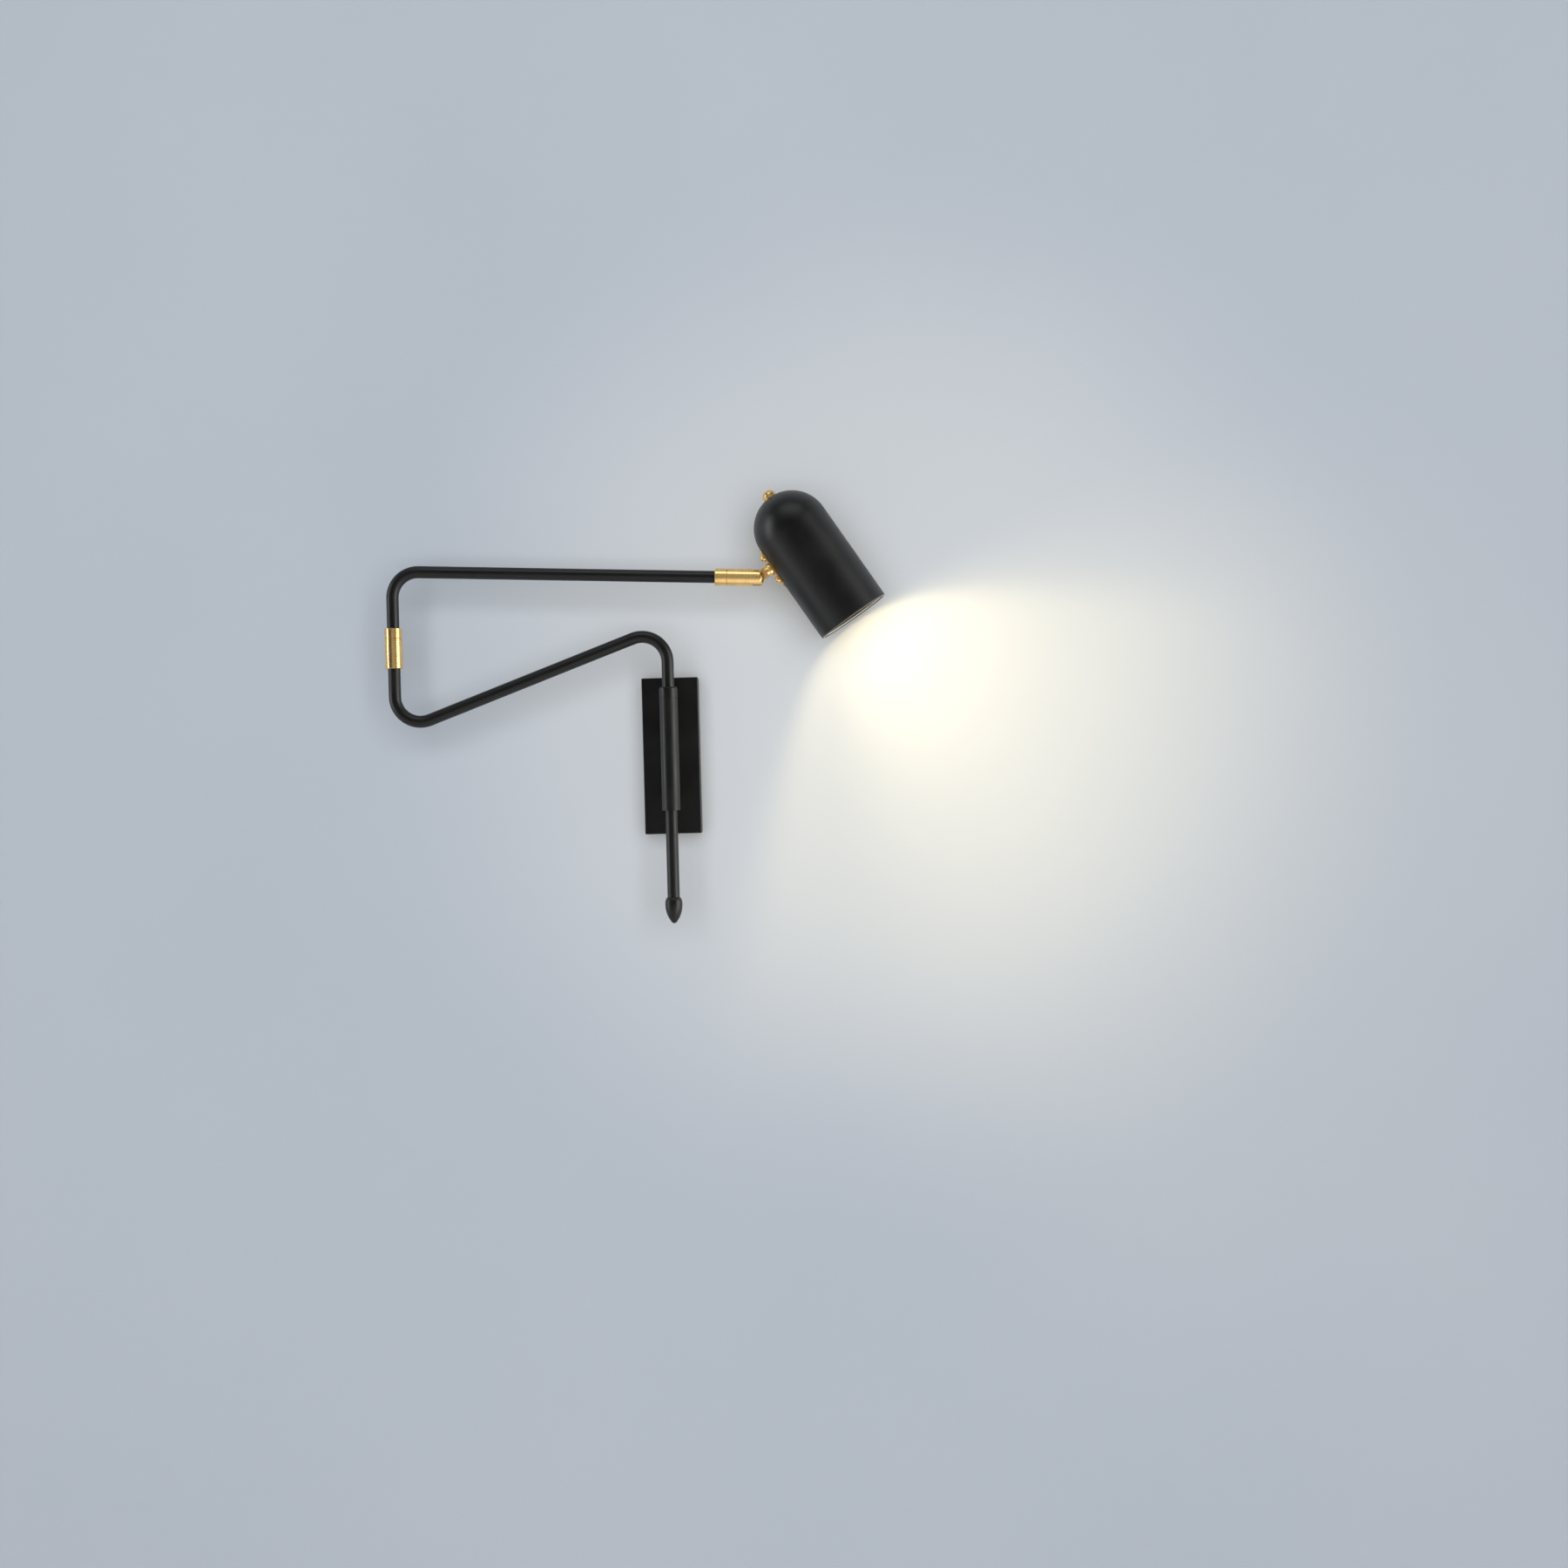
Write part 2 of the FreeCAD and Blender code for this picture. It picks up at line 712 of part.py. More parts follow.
def pivot_sleeve():
    """Vertical steel sleeve that the stem turns in."""
    body = ring("pivot_sleeve", "sleeve_bore / 2", "sleeve_od / 2", "-sleeve_bottom", "sleeve_top")
    cross_hole(body, "upper_standoff", "lead_bore_radius", "sleeve_od")
    cross_hole(body, "0", "stop_radius", "sleeve_od")
    return place(body, **STEM)


def standoff(label, height):
    """Hollow standoff with a threaded nipple behind the cover's face and a saddle end for the sleeve."""
    body = new_body(label)
    front = new_sketch(body, "XZ_Plane", "cover_depth")
    circle(front, "0", height, "standoff_radius")
    pad(body, front, "axis_gap - cover_depth")
    back = new_sketch(body, "XZ_Plane", "cover_depth")
    circle(back, "0", height, "nipple_radius")
    pad(body, back, "nipple_length", backwards=True)
    sleeve = new_sketch(body, "XY_Plane")
    circle(sleeve, "0", "-axis_gap", "sleeve_od / 2")
    pocket(body, sleeve, "cut_through", both_ways=True)
    bore = new_sketch(body, "XZ_Plane")
    circle(bore, "0", height, "lead_bore_radius")
    pocket(body, bore, "axis_gap", forwards=True)
    return body


def sleeve_standoffs():
    """The two standoffs between cover and sleeve; the upper one carries the supply lead."""
    upper = standoff("upper_sleeve_standoff", "upper_standoff")
    lower = standoff("lower_sleeve_standoff", "-lower_standoff")
    return group("sleeve_standoffs", [upper, lower])


def standoff_washers():
    """Washers between the cover's face and the standoffs' nuts."""
    washers = []
    for height in ("upper_standoff", "-lower_standoff"):
        label = "standoff_washer_%d" % (len(washers) + 1)
        washer = ring(label, "nipple_radius", "standoff_washer_radius", "0", "standoff_washer_thick")
        washers.append(place(washer, "0", "-cover_depth + cover_wall", height, "-90", X_AXIS))
    return group("standoff_washers", washers)


def standoff_nuts():
    """Nuts that clamp the standoffs to the cover's face."""
    nuts = []
    for height in ("upper_standoff", "-lower_standoff"):
        label = "standoff_nut_%d" % (len(nuts) + 1)
        nut = hex_nut(label, "standoff_nut_size", "standoff_nut_thick", "nipple_radius")
        depth = "-cover_depth + cover_wall + standoff_washer_thick"
        nuts.append(place(nut, "0", depth, height, "-90", X_AXIS))
    return group("standoff_nuts", nuts)


def sleeve_bushes():
    """Plain bushes pressed into both ends of the sleeve."""
    bore = "tube_od / 2 + running_gap"
    upper = ring("sleeve_bush_upper", bore, "sleeve_bore / 2", "sleeve_top - bush_length", "sleeve_top")
    lower_top = "bush_length - sleeve_bottom"
    lower = ring("sleeve_bush_lower", bore, "sleeve_bore / 2", "-sleeve_bottom", lower_top)
    return place(group("sleeve_bushes", [upper, lower]), **STEM)


def thrust_washer():
    """Washer on top of the sleeve that the collar turns on."""
    bore = "tube_od / 2 + 2 * running_gap"
    rim = "sleeve_od / 2 - thrust_inset"
    washer = ring("thrust_washer", bore, rim, "sleeve_top", "sleeve_top + thrust_thick")
    return place(washer, **STEM)


def stop_screw():
    """Dog-point screw whose tip runs in the stem's slot and ends its swing."""
    body = turned("stop_screw", [
        ("0", "stop_tip"),
        ("stop_dog_radius", "stop_tip"),
        ("stop_dog_radius", "stop_shoulder"),
        ("stop_radius", "stop_shoulder"),
        ("stop_radius", "stop_head"),
        ("0", "stop_head"),
    ])
    sink_socket(body, "stop_head")
    return place(body, "0", "-axis_gap", "0", "-90", X_AXIS)


def supply_lead():
    """Lead from the terminal block through the upper standoff to the stem's axis."""
    start = "-bracket_thick - block_thick / 2"
    return bent_rod("supply_lead", "YZ_Plane", [
        (start, "supply_lead_end"),
        (start, "upper_standoff", "lead_bend"),
        ("-axis_gap", "upper_standoff", "stem_lead_bend"),
        ("-axis_gap", "stem_lead_top"),
    ], "lead_radius")


# ---- lower arm ----

LOWER_CORNER = ("-elbow_reach", "stem_bend_height - elbow_reach * tan(arm_slant)", "bend_radius")
UPPER_CORNER = ("-elbow_reach", "pivot_height + (pivot_reach + elbow_reach) * tan(droop)", "bend_radius")


def arm_end(depth):
    """The point of the upper arm's axis at a depth before the head swivel's seam."""
    back = "(knuckle_length + %s)" % depth
    return ("pivot_reach - %s * cos(droop)" % back, "pivot_height + %s * sin(droop)" % back)


def lower_arm_tube():
    """Stem and lower arm in one bent tube, with a window for the lead and a slot for the stop screw."""
    body = bent_rod("lower_arm_tube", "XZ_Plane", [
        ("0", "-stem_bottom"),
        ("0", "stem_bend_height", "bend_radius"),
        LOWER_CORNER,
        ("-elbow_reach", "elbow_seam - socket_tube_depth"),
    ], "tube_od / 2", "tube_bore / 2")
    slots = [
        ("window_angle", "upper_standoff + stop_dog_radius", "window_height / 2"),
        ("stop_slot_angle", "0", "(stop_dog_radius + stop_slot_gap)"),
    ]
    for angle, middle, half in slots:
        low = "%s - %s" % (middle, half)
        high = "%s + %s" % (middle, half)
        corners = [("lead_radius", low), ("tube_od", low), ("tube_od", high), ("lead_radius", high)]
        turn_outline(body, corners, "Groove", angle)
    return place(body, **STEM)


def stop_collar():
    """Collar fixed to the stem that rests on the sleeve's thrust washer."""
    bottom = "(sleeve_top + thrust_thick + running_gap)"
    top = "(sleeve_top + thrust_thick + running_gap + collar_height)"
    body = turned("stop_collar", [
        ("tube_od / 2", bottom),
        ("sleeve_od / 2", bottom),
        ("sleeve_od / 2", top + " - collar_round", "collar_round"),
        ("sleeve_od / 2 - collar_round", top),
        ("tube_od / 2", top),
    ])
    cross_hole(body, bottom + " + collar_height / 2", "grub_radius", "sleeve_od")
    return place(body, **STEM)


def collar_grub_screw():
    """Grub screw that fixes the collar on the stem."""
    body = grub_screw("collar_grub_screw", "tube_od / 2", "sleeve_od / 2 - grub_inset")
    height = "sleeve_top + thrust_thick + running_gap + collar_height / 2"
    return place(body, "0", "-axis_gap", height, "-90", X_AXIS)


def finial_insert():
    """Threaded insert in the stem's lower end."""
    top = "insert_length - stem_bottom"
    insert = ring("finial_insert", "finial_stud_radius", "tube_bore / 2", "-stem_bottom", top)
    return place(insert, **STEM)


def drop_finial():
    """Drop-shaped finial screwed into the stem's lower end."""
    body = turned("drop_finial", [
        ("0", "finial_stud_length - stem_bottom"),
        ("0", "-finial_tip", dome("finial_tip_rise", "finial_tip_radius")),
        ("finial_tip_radius", "-finial_tip + finial_tip_rise", "finial_flank"),
        ("finial_radius", "-finial_widest", "finial_shoulder"),
        ("finial_neck_radius", "-stem_bottom - finial_neck_drop"),
        ("tube_od / 2", "-stem_bottom"),
        ("finial_stud_radius", "-stem_bottom"),
        ("finial_stud_radius", "finial_stud_length - stem_bottom"),
    ])
    return place(body, **STEM)


# ---- swivels ----

def swivel_barrel(label, radius, length, far_edge):
    """Barrel of a swivel: a shelf for the spindle near the seam, an open bore and the given far edge."""
    bore = "spindle_radius + running_gap"
    counterbore = "spigot_radius + running_gap"
    return turned(label, [
        (counterbore, "seam_gap"),
        (radius + " - seam_chamfer", "seam_gap"),
        (radius, "seam_gap + seam_chamfer"),
        *far_edge,
        ("tube_od / 2", length),
        ("tube_od / 2", SHELF_END),
        (bore, SHELF_END),
        (bore, COUNTERBORE_END),
        (counterbore, COUNTERBORE_END),
    ])


def swivel_cap(label, length):
    """Cap of a swivel: a socket for the tube, a thread for the spindle and a spigot into the barrel."""
    return turned(label, [
        ("spindle_thread_radius", "-spindle_head"),
        ("spindle_thread_radius", "spigot_length"),
        ("spigot_radius", "spigot_length"),
        ("spigot_radius", "0"),
        ("swivel_radius - seam_chamfer", "0"),
        ("swivel_radius", "-seam_chamfer"),
        ("swivel_radius", "seam_chamfer - %s" % length),
        ("swivel_radius - seam_chamfer", "-%s" % length),
        ("tube_od / 2", "-%s" % length),
        ("tube_od / 2", "-spindle_head"),
    ])


def swivel_spindle(label):
    """Hollow spindle that is fixed in the cap and turns in the barrel's shelf."""
    tail = SWIVEL_NUT_END + " + spindle_proud"
    return turned(label, [
        ("spindle_bore_radius", "-spindle_head"),
        ("spindle_thread_radius", "-spindle_head"),
        ("spindle_thread_radius", "spigot_length"),
        ("spindle_radius", "spigot_length"),
        ("spindle_radius", SHELF_END),
        ("spindle_tail_radius", SHELF_END),
        ("spindle_tail_radius", tail),
        ("spindle_bore_radius", tail),
    ])


def friction_washer(label):
    """Fibre washer between the cap's spigot and the barrel's shelf."""
    bore = "spindle_radius + 2 * running_gap"
    return ring(label, bore, "spigot_radius", "spigot_length", COUNTERBORE_END)


def wave_washer(label):
    """Wave spring under a swivel's nut, which keeps the friction steady."""
    return ring(label, "spindle_tail_radius", "swivel_nut_radius", SHELF_END, WAVE_WASHER_END)


def swivel_nut(label):
    """Round nut that holds a swivel together, slotted for a face spanner."""
    body = ring(label, "spindle_tail_radius", "swivel_nut_radius", WAVE_WASHER_END, SWIVEL_NUT_END)
    slot = new_sketch(body, "XZ_Plane")
    rectangle(slot, "-nut_slot / 2", SWIVEL_NUT_END + " - nut_slot_depth", "nut_slot / 2", SWIVEL_NUT_END)
    pocket(body, slot, "cut_through", both_ways=True)
    return body


def elbow_socket():
    """Long brass half of the elbow, on top of the lower arm."""
    body = swivel_barrel("elbow_socket", "swivel_radius", "elbow_socket_length", [
        ("swivel_radius", "elbow_socket_length - seam_chamfer"),
        ("swivel_radius - seam_chamfer", "elbow_socket_length"),
    ])
    cross_hole(body, "elbow_socket_length - socket_grub_station", "grub_radius", "2 * swivel_radius")
    return place(body, **ELBOW)


def elbow_grub_screw():
    """Grub screw that fixes the elbow's socket on the lower arm."""
    body = grub_screw("elbow_grub_screw", "tube_od / 2", "swivel_radius - grub_inset")
    height = "elbow_seam - elbow_socket_length + socket_grub_station"
    return place(body, "-elbow_reach", "-axis_gap", height, "-90", X_AXIS)


def lower_arm_cable():
    """Lead inside the lower arm, from the stem's window to the elbow."""
    body = bent_rod("lower_arm_cable", "XZ_Plane", [
        ("0", "stem_lead_top"),
        ("0", "stem_bend_height", "bend_radius"),
        LOWER_CORNER,
        ("-elbow_reach", "elbow_seam"),
    ], "lead_radius")
    return place(body, **STEM)


# ---- upper arm ----

def upper_arm_tube():
    """Upper arm tube, from the elbow to the head."""
    body = bent_rod("upper_arm_tube", "XZ_Plane", [
        ("-elbow_reach", "elbow_seam + spindle_head"),
        UPPER_CORNER,
        arm_end("ferrule_tube_depth"),
    ], "tube_od / 2", "tube_bore / 2")
    return place(body, **STEM)


def upper_arm_cable():
    """Lead inside the upper arm, from the elbow to the head swivel."""
    body = bent_rod("upper_arm_cable", "XZ_Plane", [
        ("-elbow_reach", "elbow_seam"),
        UPPER_CORNER,
        arm_end("0"),
    ], "lead_radius")
    return place(body, **STEM)


def elbow_cap():
    """Short brass half of the elbow, at the foot of the upper arm."""
    body = swivel_cap("elbow_cap", "elbow_cap_length")
    cross_hole(body, "cap_grub_station - elbow_cap_length", "grub_radius", "2 * swivel_radius")
    return place(body, **ELBOW)


def head_ferrule():
    """Short brass half of the head swivel, at the end of the upper arm."""
    body = swivel_cap("head_ferrule", "ferrule_length")
    cross_hole(body, "cap_grub_station - ferrule_length", "grub_radius", "2 * swivel_radius")
    return place(body, **HEAD_SEAM)


def upper_arm_grub_screws():
    """Grub screws that fix the elbow's cap and the head's ferrule on the upper arm."""
    cap_screw = grub_screw("cap_grub_screw", "tube_od / 2", "swivel_radius - grub_inset")
    ferrule_screw = grub_screw("ferrule_grub_screw", "tube_od / 2", "swivel_radius - grub_inset")
    cap_height = "elbow_seam + elbow_cap_length - cap_grub_station"
    place(cap_screw, "-elbow_reach", "-axis_gap", cap_height, "-90", X_AXIS)
    reach, height = arm_end("(ferrule_length - cap_grub_station)")
    place(ferrule_screw, reach, "-axis_gap", height, "-90", X_AXIS)
    return group("upper_arm_grub_screws", [cap_screw, ferrule_screw])


# ---- head swivel and knuckle ----

def head_barrel():
    """Brass barrel that turns on the upper arm's end."""
    edge = [("barrel_radius", "barrel_length")]
    return place(swivel_barrel("swivel_barrel", "barrel_radius", "barrel_length", edge), **HEAD_SEAM)


def knuckle_clevis():
    """Rounded, forked brass end of the swivel, screwed into the barrel."""
    body = turned("knuckle_clevis", [
        ("0", "barrel_length - clevis_spigot"),
        ("tube_od / 2", "barrel_length - clevis_spigot"),
        ("tube_od / 2", "barrel_length"),
        ("barrel_radius", "barrel_length"),
        ("barrel_radius", "knuckle_length + clevis_tip - clevis_round", "clevis_round"),
        ("barrel_radius - clevis_round", "knuckle_length + clevis_tip"),
        ("0", "knuckle_length + clevis_tip"),
    ])
    slot = new_sketch(body, "YZ_Plane")
    tip = "knuckle_length + 2 * clevis_tip"
    rectangle(slot, "-clevis_slot / 2", "knuckle_length - clevis_slot_depth", "clevis_slot / 2", tip)
    pocket(body, slot, "cut_through", both_ways=True)
    bore = new_sketch(body, "XY_Plane")
    circle(bore, "0", "0", "lead_bore_radius")
    pocket(body, bore, "knuckle_length", forwards=True)
    pin = new_sketch(body, "XZ_Plane")
    circle(pin, "0", "knuckle_length", "pin_radius")
    pocket(body, pin, "cut_through", both_ways=True)
    return place(body, **HEAD_SEAM)


def knuckle_pins():
    """Two short pins, one through each ear of the clevis, that leave the middle free for the lead."""
    pins = []
    for side, turn in (("front", "90"), ("back", "-90")):
        pin = turned("knuckle_pin_" + side, [
            ("0", "pin_inner"),
            ("pin_radius", "pin_inner"),
            ("pin_radius", "pin_outer", dome("pin_dome", "pin_radius")),
            ("0", "pin_outer + pin_dome"),
        ])
        pins.append(place(pin, "pivot_reach", "-axis_gap", "pivot_height", turn, X_AXIS))
    return group("knuckle_pins", pins)


def knuckle_cable():
    """Lead through the head swivel, with a round end on the knuckle's axis."""
    body = turned("knuckle_cable", [
        ("0", "0"),
        ("lead_radius", "0"),
        ("lead_radius", "knuckle_length", "lead_radius"),
        ("0", "knuckle_length + lead_radius"),
    ])
    return place(body, **HEAD_SEAM)


def knuckle_tongue():
    """Hollow brass tongue with a flange against the saddle and a stud through the shade."""
    body = new_body("knuckle_tongue")
    eye = new_sketch(body, "XZ_Plane")
    circle(eye, "0", "0", "tongue_radius")
    pad(body, eye, "tongue_thick", both_ways=True)
    web = new_sketch(body, "XZ_Plane")
    rectangle(web, "-neck_radius", "0", "neck_radius", "neck_start + neck_edge")
    pad(body, web, "tongue_thick", both_ways=True)
    stud_end = "(head_offset - shade_radius + stud_nut_thick + shade_wall + stud_proud)"
    turn_outline(body, [
        ("0", "neck_start"),
        ("neck_radius - neck_edge", "neck_start"),
        ("neck_radius", "neck_start + neck_edge"),
        ("neck_radius", "flange_face - flange_thick"),
        ("flange_radius - flange_edge", "flange_face - flange_thick"),
        ("flange_radius", "flange_face - flange_thick + flange_edge"),
        ("flange_radius", "flange_face - flange_edge"),
        ("flange_radius - flange_edge", "flange_face"),
        ("stud_radius", "flange_face"),
        ("stud_radius", stud_end),
        ("0", stud_end),
    ])
    bore = new_sketch(body, "XY_Plane")
    circle(bore, "0", "0", "tongue_bore_radius")
    pocket(body, bore, "head_offset", forwards=True)
    mouth = new_sketch(body, "YZ_Plane")
    rectangle(mouth, "-tongue_slot / 2", "-2 * tongue_radius", "tongue_slot / 2", "tongue_bore_radius")
    pocket(body, mouth, "cut_through", both_ways=True)
    pin = new_sketch(body, "XZ_Plane")
    circle(pin, "0", "0", "pin_radius + running_gap")
    pocket(body, pin, "cut_through", both_ways=True)
    return place(body, **TONGUE)


def knuckle_washers():
    """Fibre washers between the tongue and the clevis's ears."""
    washers = []
    for side, turn in (("front", "90"), ("back", "-90")):
        washer = ring("knuckle_washer_" + side, "pin_radius + knuckle_washer_gap", "knuckle_washer_radius",
                      "tongue_thick / 2", "tongue_thick / 2 + knuckle_washer_thick")
        washers.append(place(washer, "0", "0", "0", turn, X_AXIS))
    return place(group("knuckle_washers", washers), **TONGUE)


# ---- shade and its saddle ----

def side_holes(body):
    """Cut the stud's hole and the two screw holes through the side that faces the arm."""
    sketch = new_sketch(body, "YZ_Plane")
    circle(sketch, "0", "saddle_station", "stud_radius")
    circle(sketch, "0", "saddle_station - saddle_screw_offset", "small_screw_radius")
    circle(sketch, "0", "saddle_station + saddle_screw_offset", "small_screw_radius")
    pocket(body, sketch, "2 * shade_radius", forwards=True)


def saddle_plate():
    """Thin brass plate, curved to the shade, that spreads the tongue's load."""
    body = new_body("saddle_plate")
    low = "saddle_station - saddle_length / 2"
    high = "saddle_station + saddle_length / 2"
    outer = "shade_radius + saddle_thick"
    plate = turn_outline(body, [("shade_radius", low), (outer, low), (outer, high), ("shade_radius", high)],
                         angle="saddle_angle")
    round_edges(body, plate, "saddle_corner", is_radial)
    side_holes(body)
    return place(body, **SHADE)


def is_radial(edge):
    """Tell whether a straight edge points away from the Z axis."""
    return type(edge.Curve).__name__ == "Line" and abs(edge.Curve.Direction.z) < 1e-6


def saddle_screws():
    """Dome-headed brass screws through saddle and shade."""
    screws = []
    crown = dome("saddle_head_dome", "saddle_head_radius")
    for offset in ("-saddle_screw_offset", "saddle_screw_offset"):
        screw = turned("saddle_screw_%d" % (len(screws) + 1), [
            ("0", "flange_face - saddle_head_edge - saddle_head_dome", crown),
            ("saddle_head_radius", "flange_face - saddle_head_edge"),
            ("saddle_head_radius", "flange_face"),
            ("small_screw_radius", "flange_face"),
            ("small_screw_radius", "flange_face + small_screw_length"),
            ("0", "flange_face + small_screw_length"),
        ])
        screws.append(place(screw, x=offset))
    return place(group("saddle_screws", screws), **TONGUE)


def saddle_nuts():
    """Nuts of the saddle's screws, inside the shade."""
    nuts = []
    seat = "head_offset - shade_radius + shade_wall + saddle_nut_sag"
    for offset in ("-saddle_screw_offset", "saddle_screw_offset"):
        label = "saddle_nut_%d" % (len(nuts) + 1)
        nut = hex_nut(label, "saddle_nut_size", "saddle_nut_thick", "small_screw_radius", seat)
        nuts.append(place(nut, x=offset))
    return place(group("saddle_nuts", nuts), **TONGUE)


def stud_nut():
    """Nut on the tongue's stud, inside the shade."""
    seat = "head_offset - shade_radius + shade_wall + stud_nut_sag"
    return place(hex_nut("stud_nut", "stud_nut_size", "stud_nut_thick", "stud_radius", seat), **TONGUE)


def shade():
    """Bullet-shaped spun steel shade, open at the mouth."""
    body = turned("shade", [
        ("0", "0", "shade_radius"),
        ("shade_radius", "shade_radius"),
        ("shade_radius", "shade_length - shade_wall / 2", "shade_wall / 2"),
        ("shade_radius - shade_wall / 2", "shade_length"),
        ("shade_radius - shade_wall", "shade_length"),
        ("shade_radius - shade_wall", "shade_radius", "-(shade_radius - shade_wall)"),
        ("0", "shade_wall"),
    ])
    apex = new_sketch(body, "XY_Plane")
    circle(apex, "0", "0", "holder_nipple_radius")
    pocket(body, apex, "shade_radius", forwards=True)
    side_holes(body)
    return place(body, **SHADE)


def reflector():
    """White reflector that lines the shade, steps out to its wall at the mouth and folds over its rim."""
    outer = "(shade_radius - shade_wall - reflector_gap)"
    inner = "(shade_radius - shade_wall - reflector_gap - reflector_wall)"
    lip = "(shade_radius - shade_wall + lip_overlap)"
    rim = "(shade_length + running_gap)"
    step_end = "reflector_step + reflector_step_length"
    body = turned("reflector", [
        ("holder_neck_radius", "reflector_collar"),
        ("reflector_collar_radius", "reflector_collar"),
        (outer + " - reflector_step_rise", "reflector_cone"),
        (outer + " - reflector_step_rise", "reflector_step"),
        (outer, step_end),
        (outer, rim),
        (lip, rim),
        (lip, rim + " + lip_thick - lip_edge", "lip_edge"),
        (lip + " - lip_edge", rim + " + lip_thick"),
        (inner, rim + " + lip_thick"),
        (inner, step_end),
        (inner + " - reflector_step_rise", "reflector_step"),
        (inner + " - reflector_step_rise", "reflector_cone + reflector_wall / 2"),
        ("reflector_collar_radius - reflector_wall / 2", "reflector_collar + reflector_wall"),
        ("holder_neck_radius", "reflector_collar + reflector_wall"),
    ])
    return place(body, **SHADE)


def cap_nut():
    """Domed brass cap nut on the top of the shade."""
    seat = "(shade_radius - sqrt(shade_radius ^ 2 - %s ^ 2))"
    outer_seat = seat % "cap_nut_radius" + " - running_gap"
    inner_seat = seat % "holder_nipple_radius" + " - running_gap"
    body = turned("cap_nut", [
        ("0", "-holder_nipple_top"),
        ("holder_nipple_radius", "-holder_nipple_top"),
        ("holder_nipple_radius", inner_seat),
        ("cap_nut_radius", outer_seat),
        ("cap_nut_radius", "cap_nut_dome - cap_nut_height", "-" + dome("cap_nut_dome", "cap_nut_radius")),
        ("0", "-cap_nut_height"),
    ])
    return place(body, **SHADE)


# ---- lampholder ----

def holder_nipple():
    """Threaded hollow nipple that hangs the lampholder from the shade's top."""
    bore = "holder_nipple_bore"
    nipple = ring("holder_nipple", bore, "holder_nipple_radius", "-holder_nipple_top", "holder_web")
    return place(nipple, **SHADE)


def nipple_washer():
    """Washer between the dome and the nipple's locknut."""
    top = "dome_washer_seat + dome_washer_thick"
    washer = ring("nipple_washer", "holder_nipple_radius", "dome_washer_radius", "dome_washer_seat", top)
    return place(washer, **SHADE)


def nipple_locknut():
    """Locknut of the nipple, under the dome."""
    seat = "dome_washer_seat + dome_washer_thick"
    nut = hex_nut("nipple_locknut", "standoff_nut_size", "standoff_nut_thick", "holder_nipple_radius", seat)
    return place(nut, **SHADE)


def lampholder():
    """Ceramic lampholder with a threaded neck for the reflector's ring."""
    body = turned("lampholder", [
        ("0", "holder_web"),
        ("holder_nipple_radius", "holder_web"),
        ("holder_nipple_radius", "holder_top"),
        ("holder_radius - holder_chamfer", "holder_top"),
        ("holder_radius", "holder_top + holder_chamfer"),
        ("holder_radius", "reflector_collar"),
        ("holder_neck_radius", "reflector_collar"),
        ("holder_neck_radius", "holder_mouth"),
        ("holder_bore_radius", "holder_mouth"),
        ("holder_bore_radius", "holder_floor"),
        ("0", "holder_floor"),
    ])
    entry = new_sketch(body, "XY_Plane", "holder_top")
    circle(entry, "terminal_offset", "0", "wire_hole_radius")
    pocket(body, entry, "holder_web - holder_top", forwards=True)
    return place(body, **SHADE)


def holder_shell():
    """Threaded shell that grips the bulb's base."""
    inner = "holder_bore_radius - shell_thick"
    bottom = "holder_floor + shell_inset"
    shell = ring("holder_shell", inner, "holder_bore_radius", bottom, "holder_mouth - shell_inset")
    return place(shell, **SHADE)


def holder_contact():
    """Centre contact at the bottom of the lampholder."""
    top = "holder_floor + contact_thick"
    body = turned("holder_contact", [
        ("0", "holder_floor"),
        ("contact_radius", "holder_floor"),
        ("contact_radius", top),
        ("0", top),
    ])
    return place(body, **SHADE)


def reflector_ring():
    """Ring that clamps the reflector on the lampholder's neck."""
    bottom = "reflector_collar + reflector_wall"
    clamp = ring("reflector_ring", "holder_neck_radius", "ring_radius", bottom, bottom + " + ring_thick")
    return place(clamp, **SHADE)


def head_cable():
    """Lead from the knuckle through the tongue and up to the lampholder."""
    side = "(holder_radius + lead_bend)"
    crest = "(holder_top - 2 * lead_bend)"
    body = bent_rod("head_cable", "XZ_Plane", [
        ("terminal_offset", "holder_top + head_lead_depth"),
        ("terminal_offset", crest, "lead_bend"),
        (side, crest, "lead_bend"),
        (side, "saddle_station", "lead_bend"),
        ("head_offset - tongue_bore_radius - lead_gap", "saddle_station"),
    ], "lead_radius")
    return place(body, **SHADE)


# ---- bulb ----

def bulb_base():
    """Screw base of the bulb."""
    foot = "(holder_floor + contact_thick)"
    body = turned("bulb_base", [
        ("0", foot),
        ("base_contact_radius", foot),
        ("base_contact_radius", foot + " + base_contact_height"),
        ("base_radius - base_taper", foot + " + base_taper_start"),
        ("base_radius", foot + " + base_taper_end"),
        ("base_radius", "base_end"),
        ("0", "base_end"),
    ])
    return place(body, **SHADE)


GLOBE_EDGE = "sqrt(bulb_radius ^ 2 - (bulb_centre - globe_start) ^ 2)"
GLOBE_INSIDE = "sqrt((bulb_radius - globe_wall) ^ 2 - (bulb_centre - globe_start) ^ 2)"


def bulb_collar():
    """Moulded collar between the bulb's base and its globe."""
    body = turned("bulb_collar", [
        ("0", "base_end"),
        ("bulb_foot_radius", "base_end"),
        ("bulb_flare_radius", "bulb_flare_start", "-bulb_flare_curve"),
        (GLOBE_EDGE, "globe_seat"),
        (GLOBE_EDGE, "globe_start"),
        ("0", "globe_start"),
    ])
    return place(body, **SHADE)


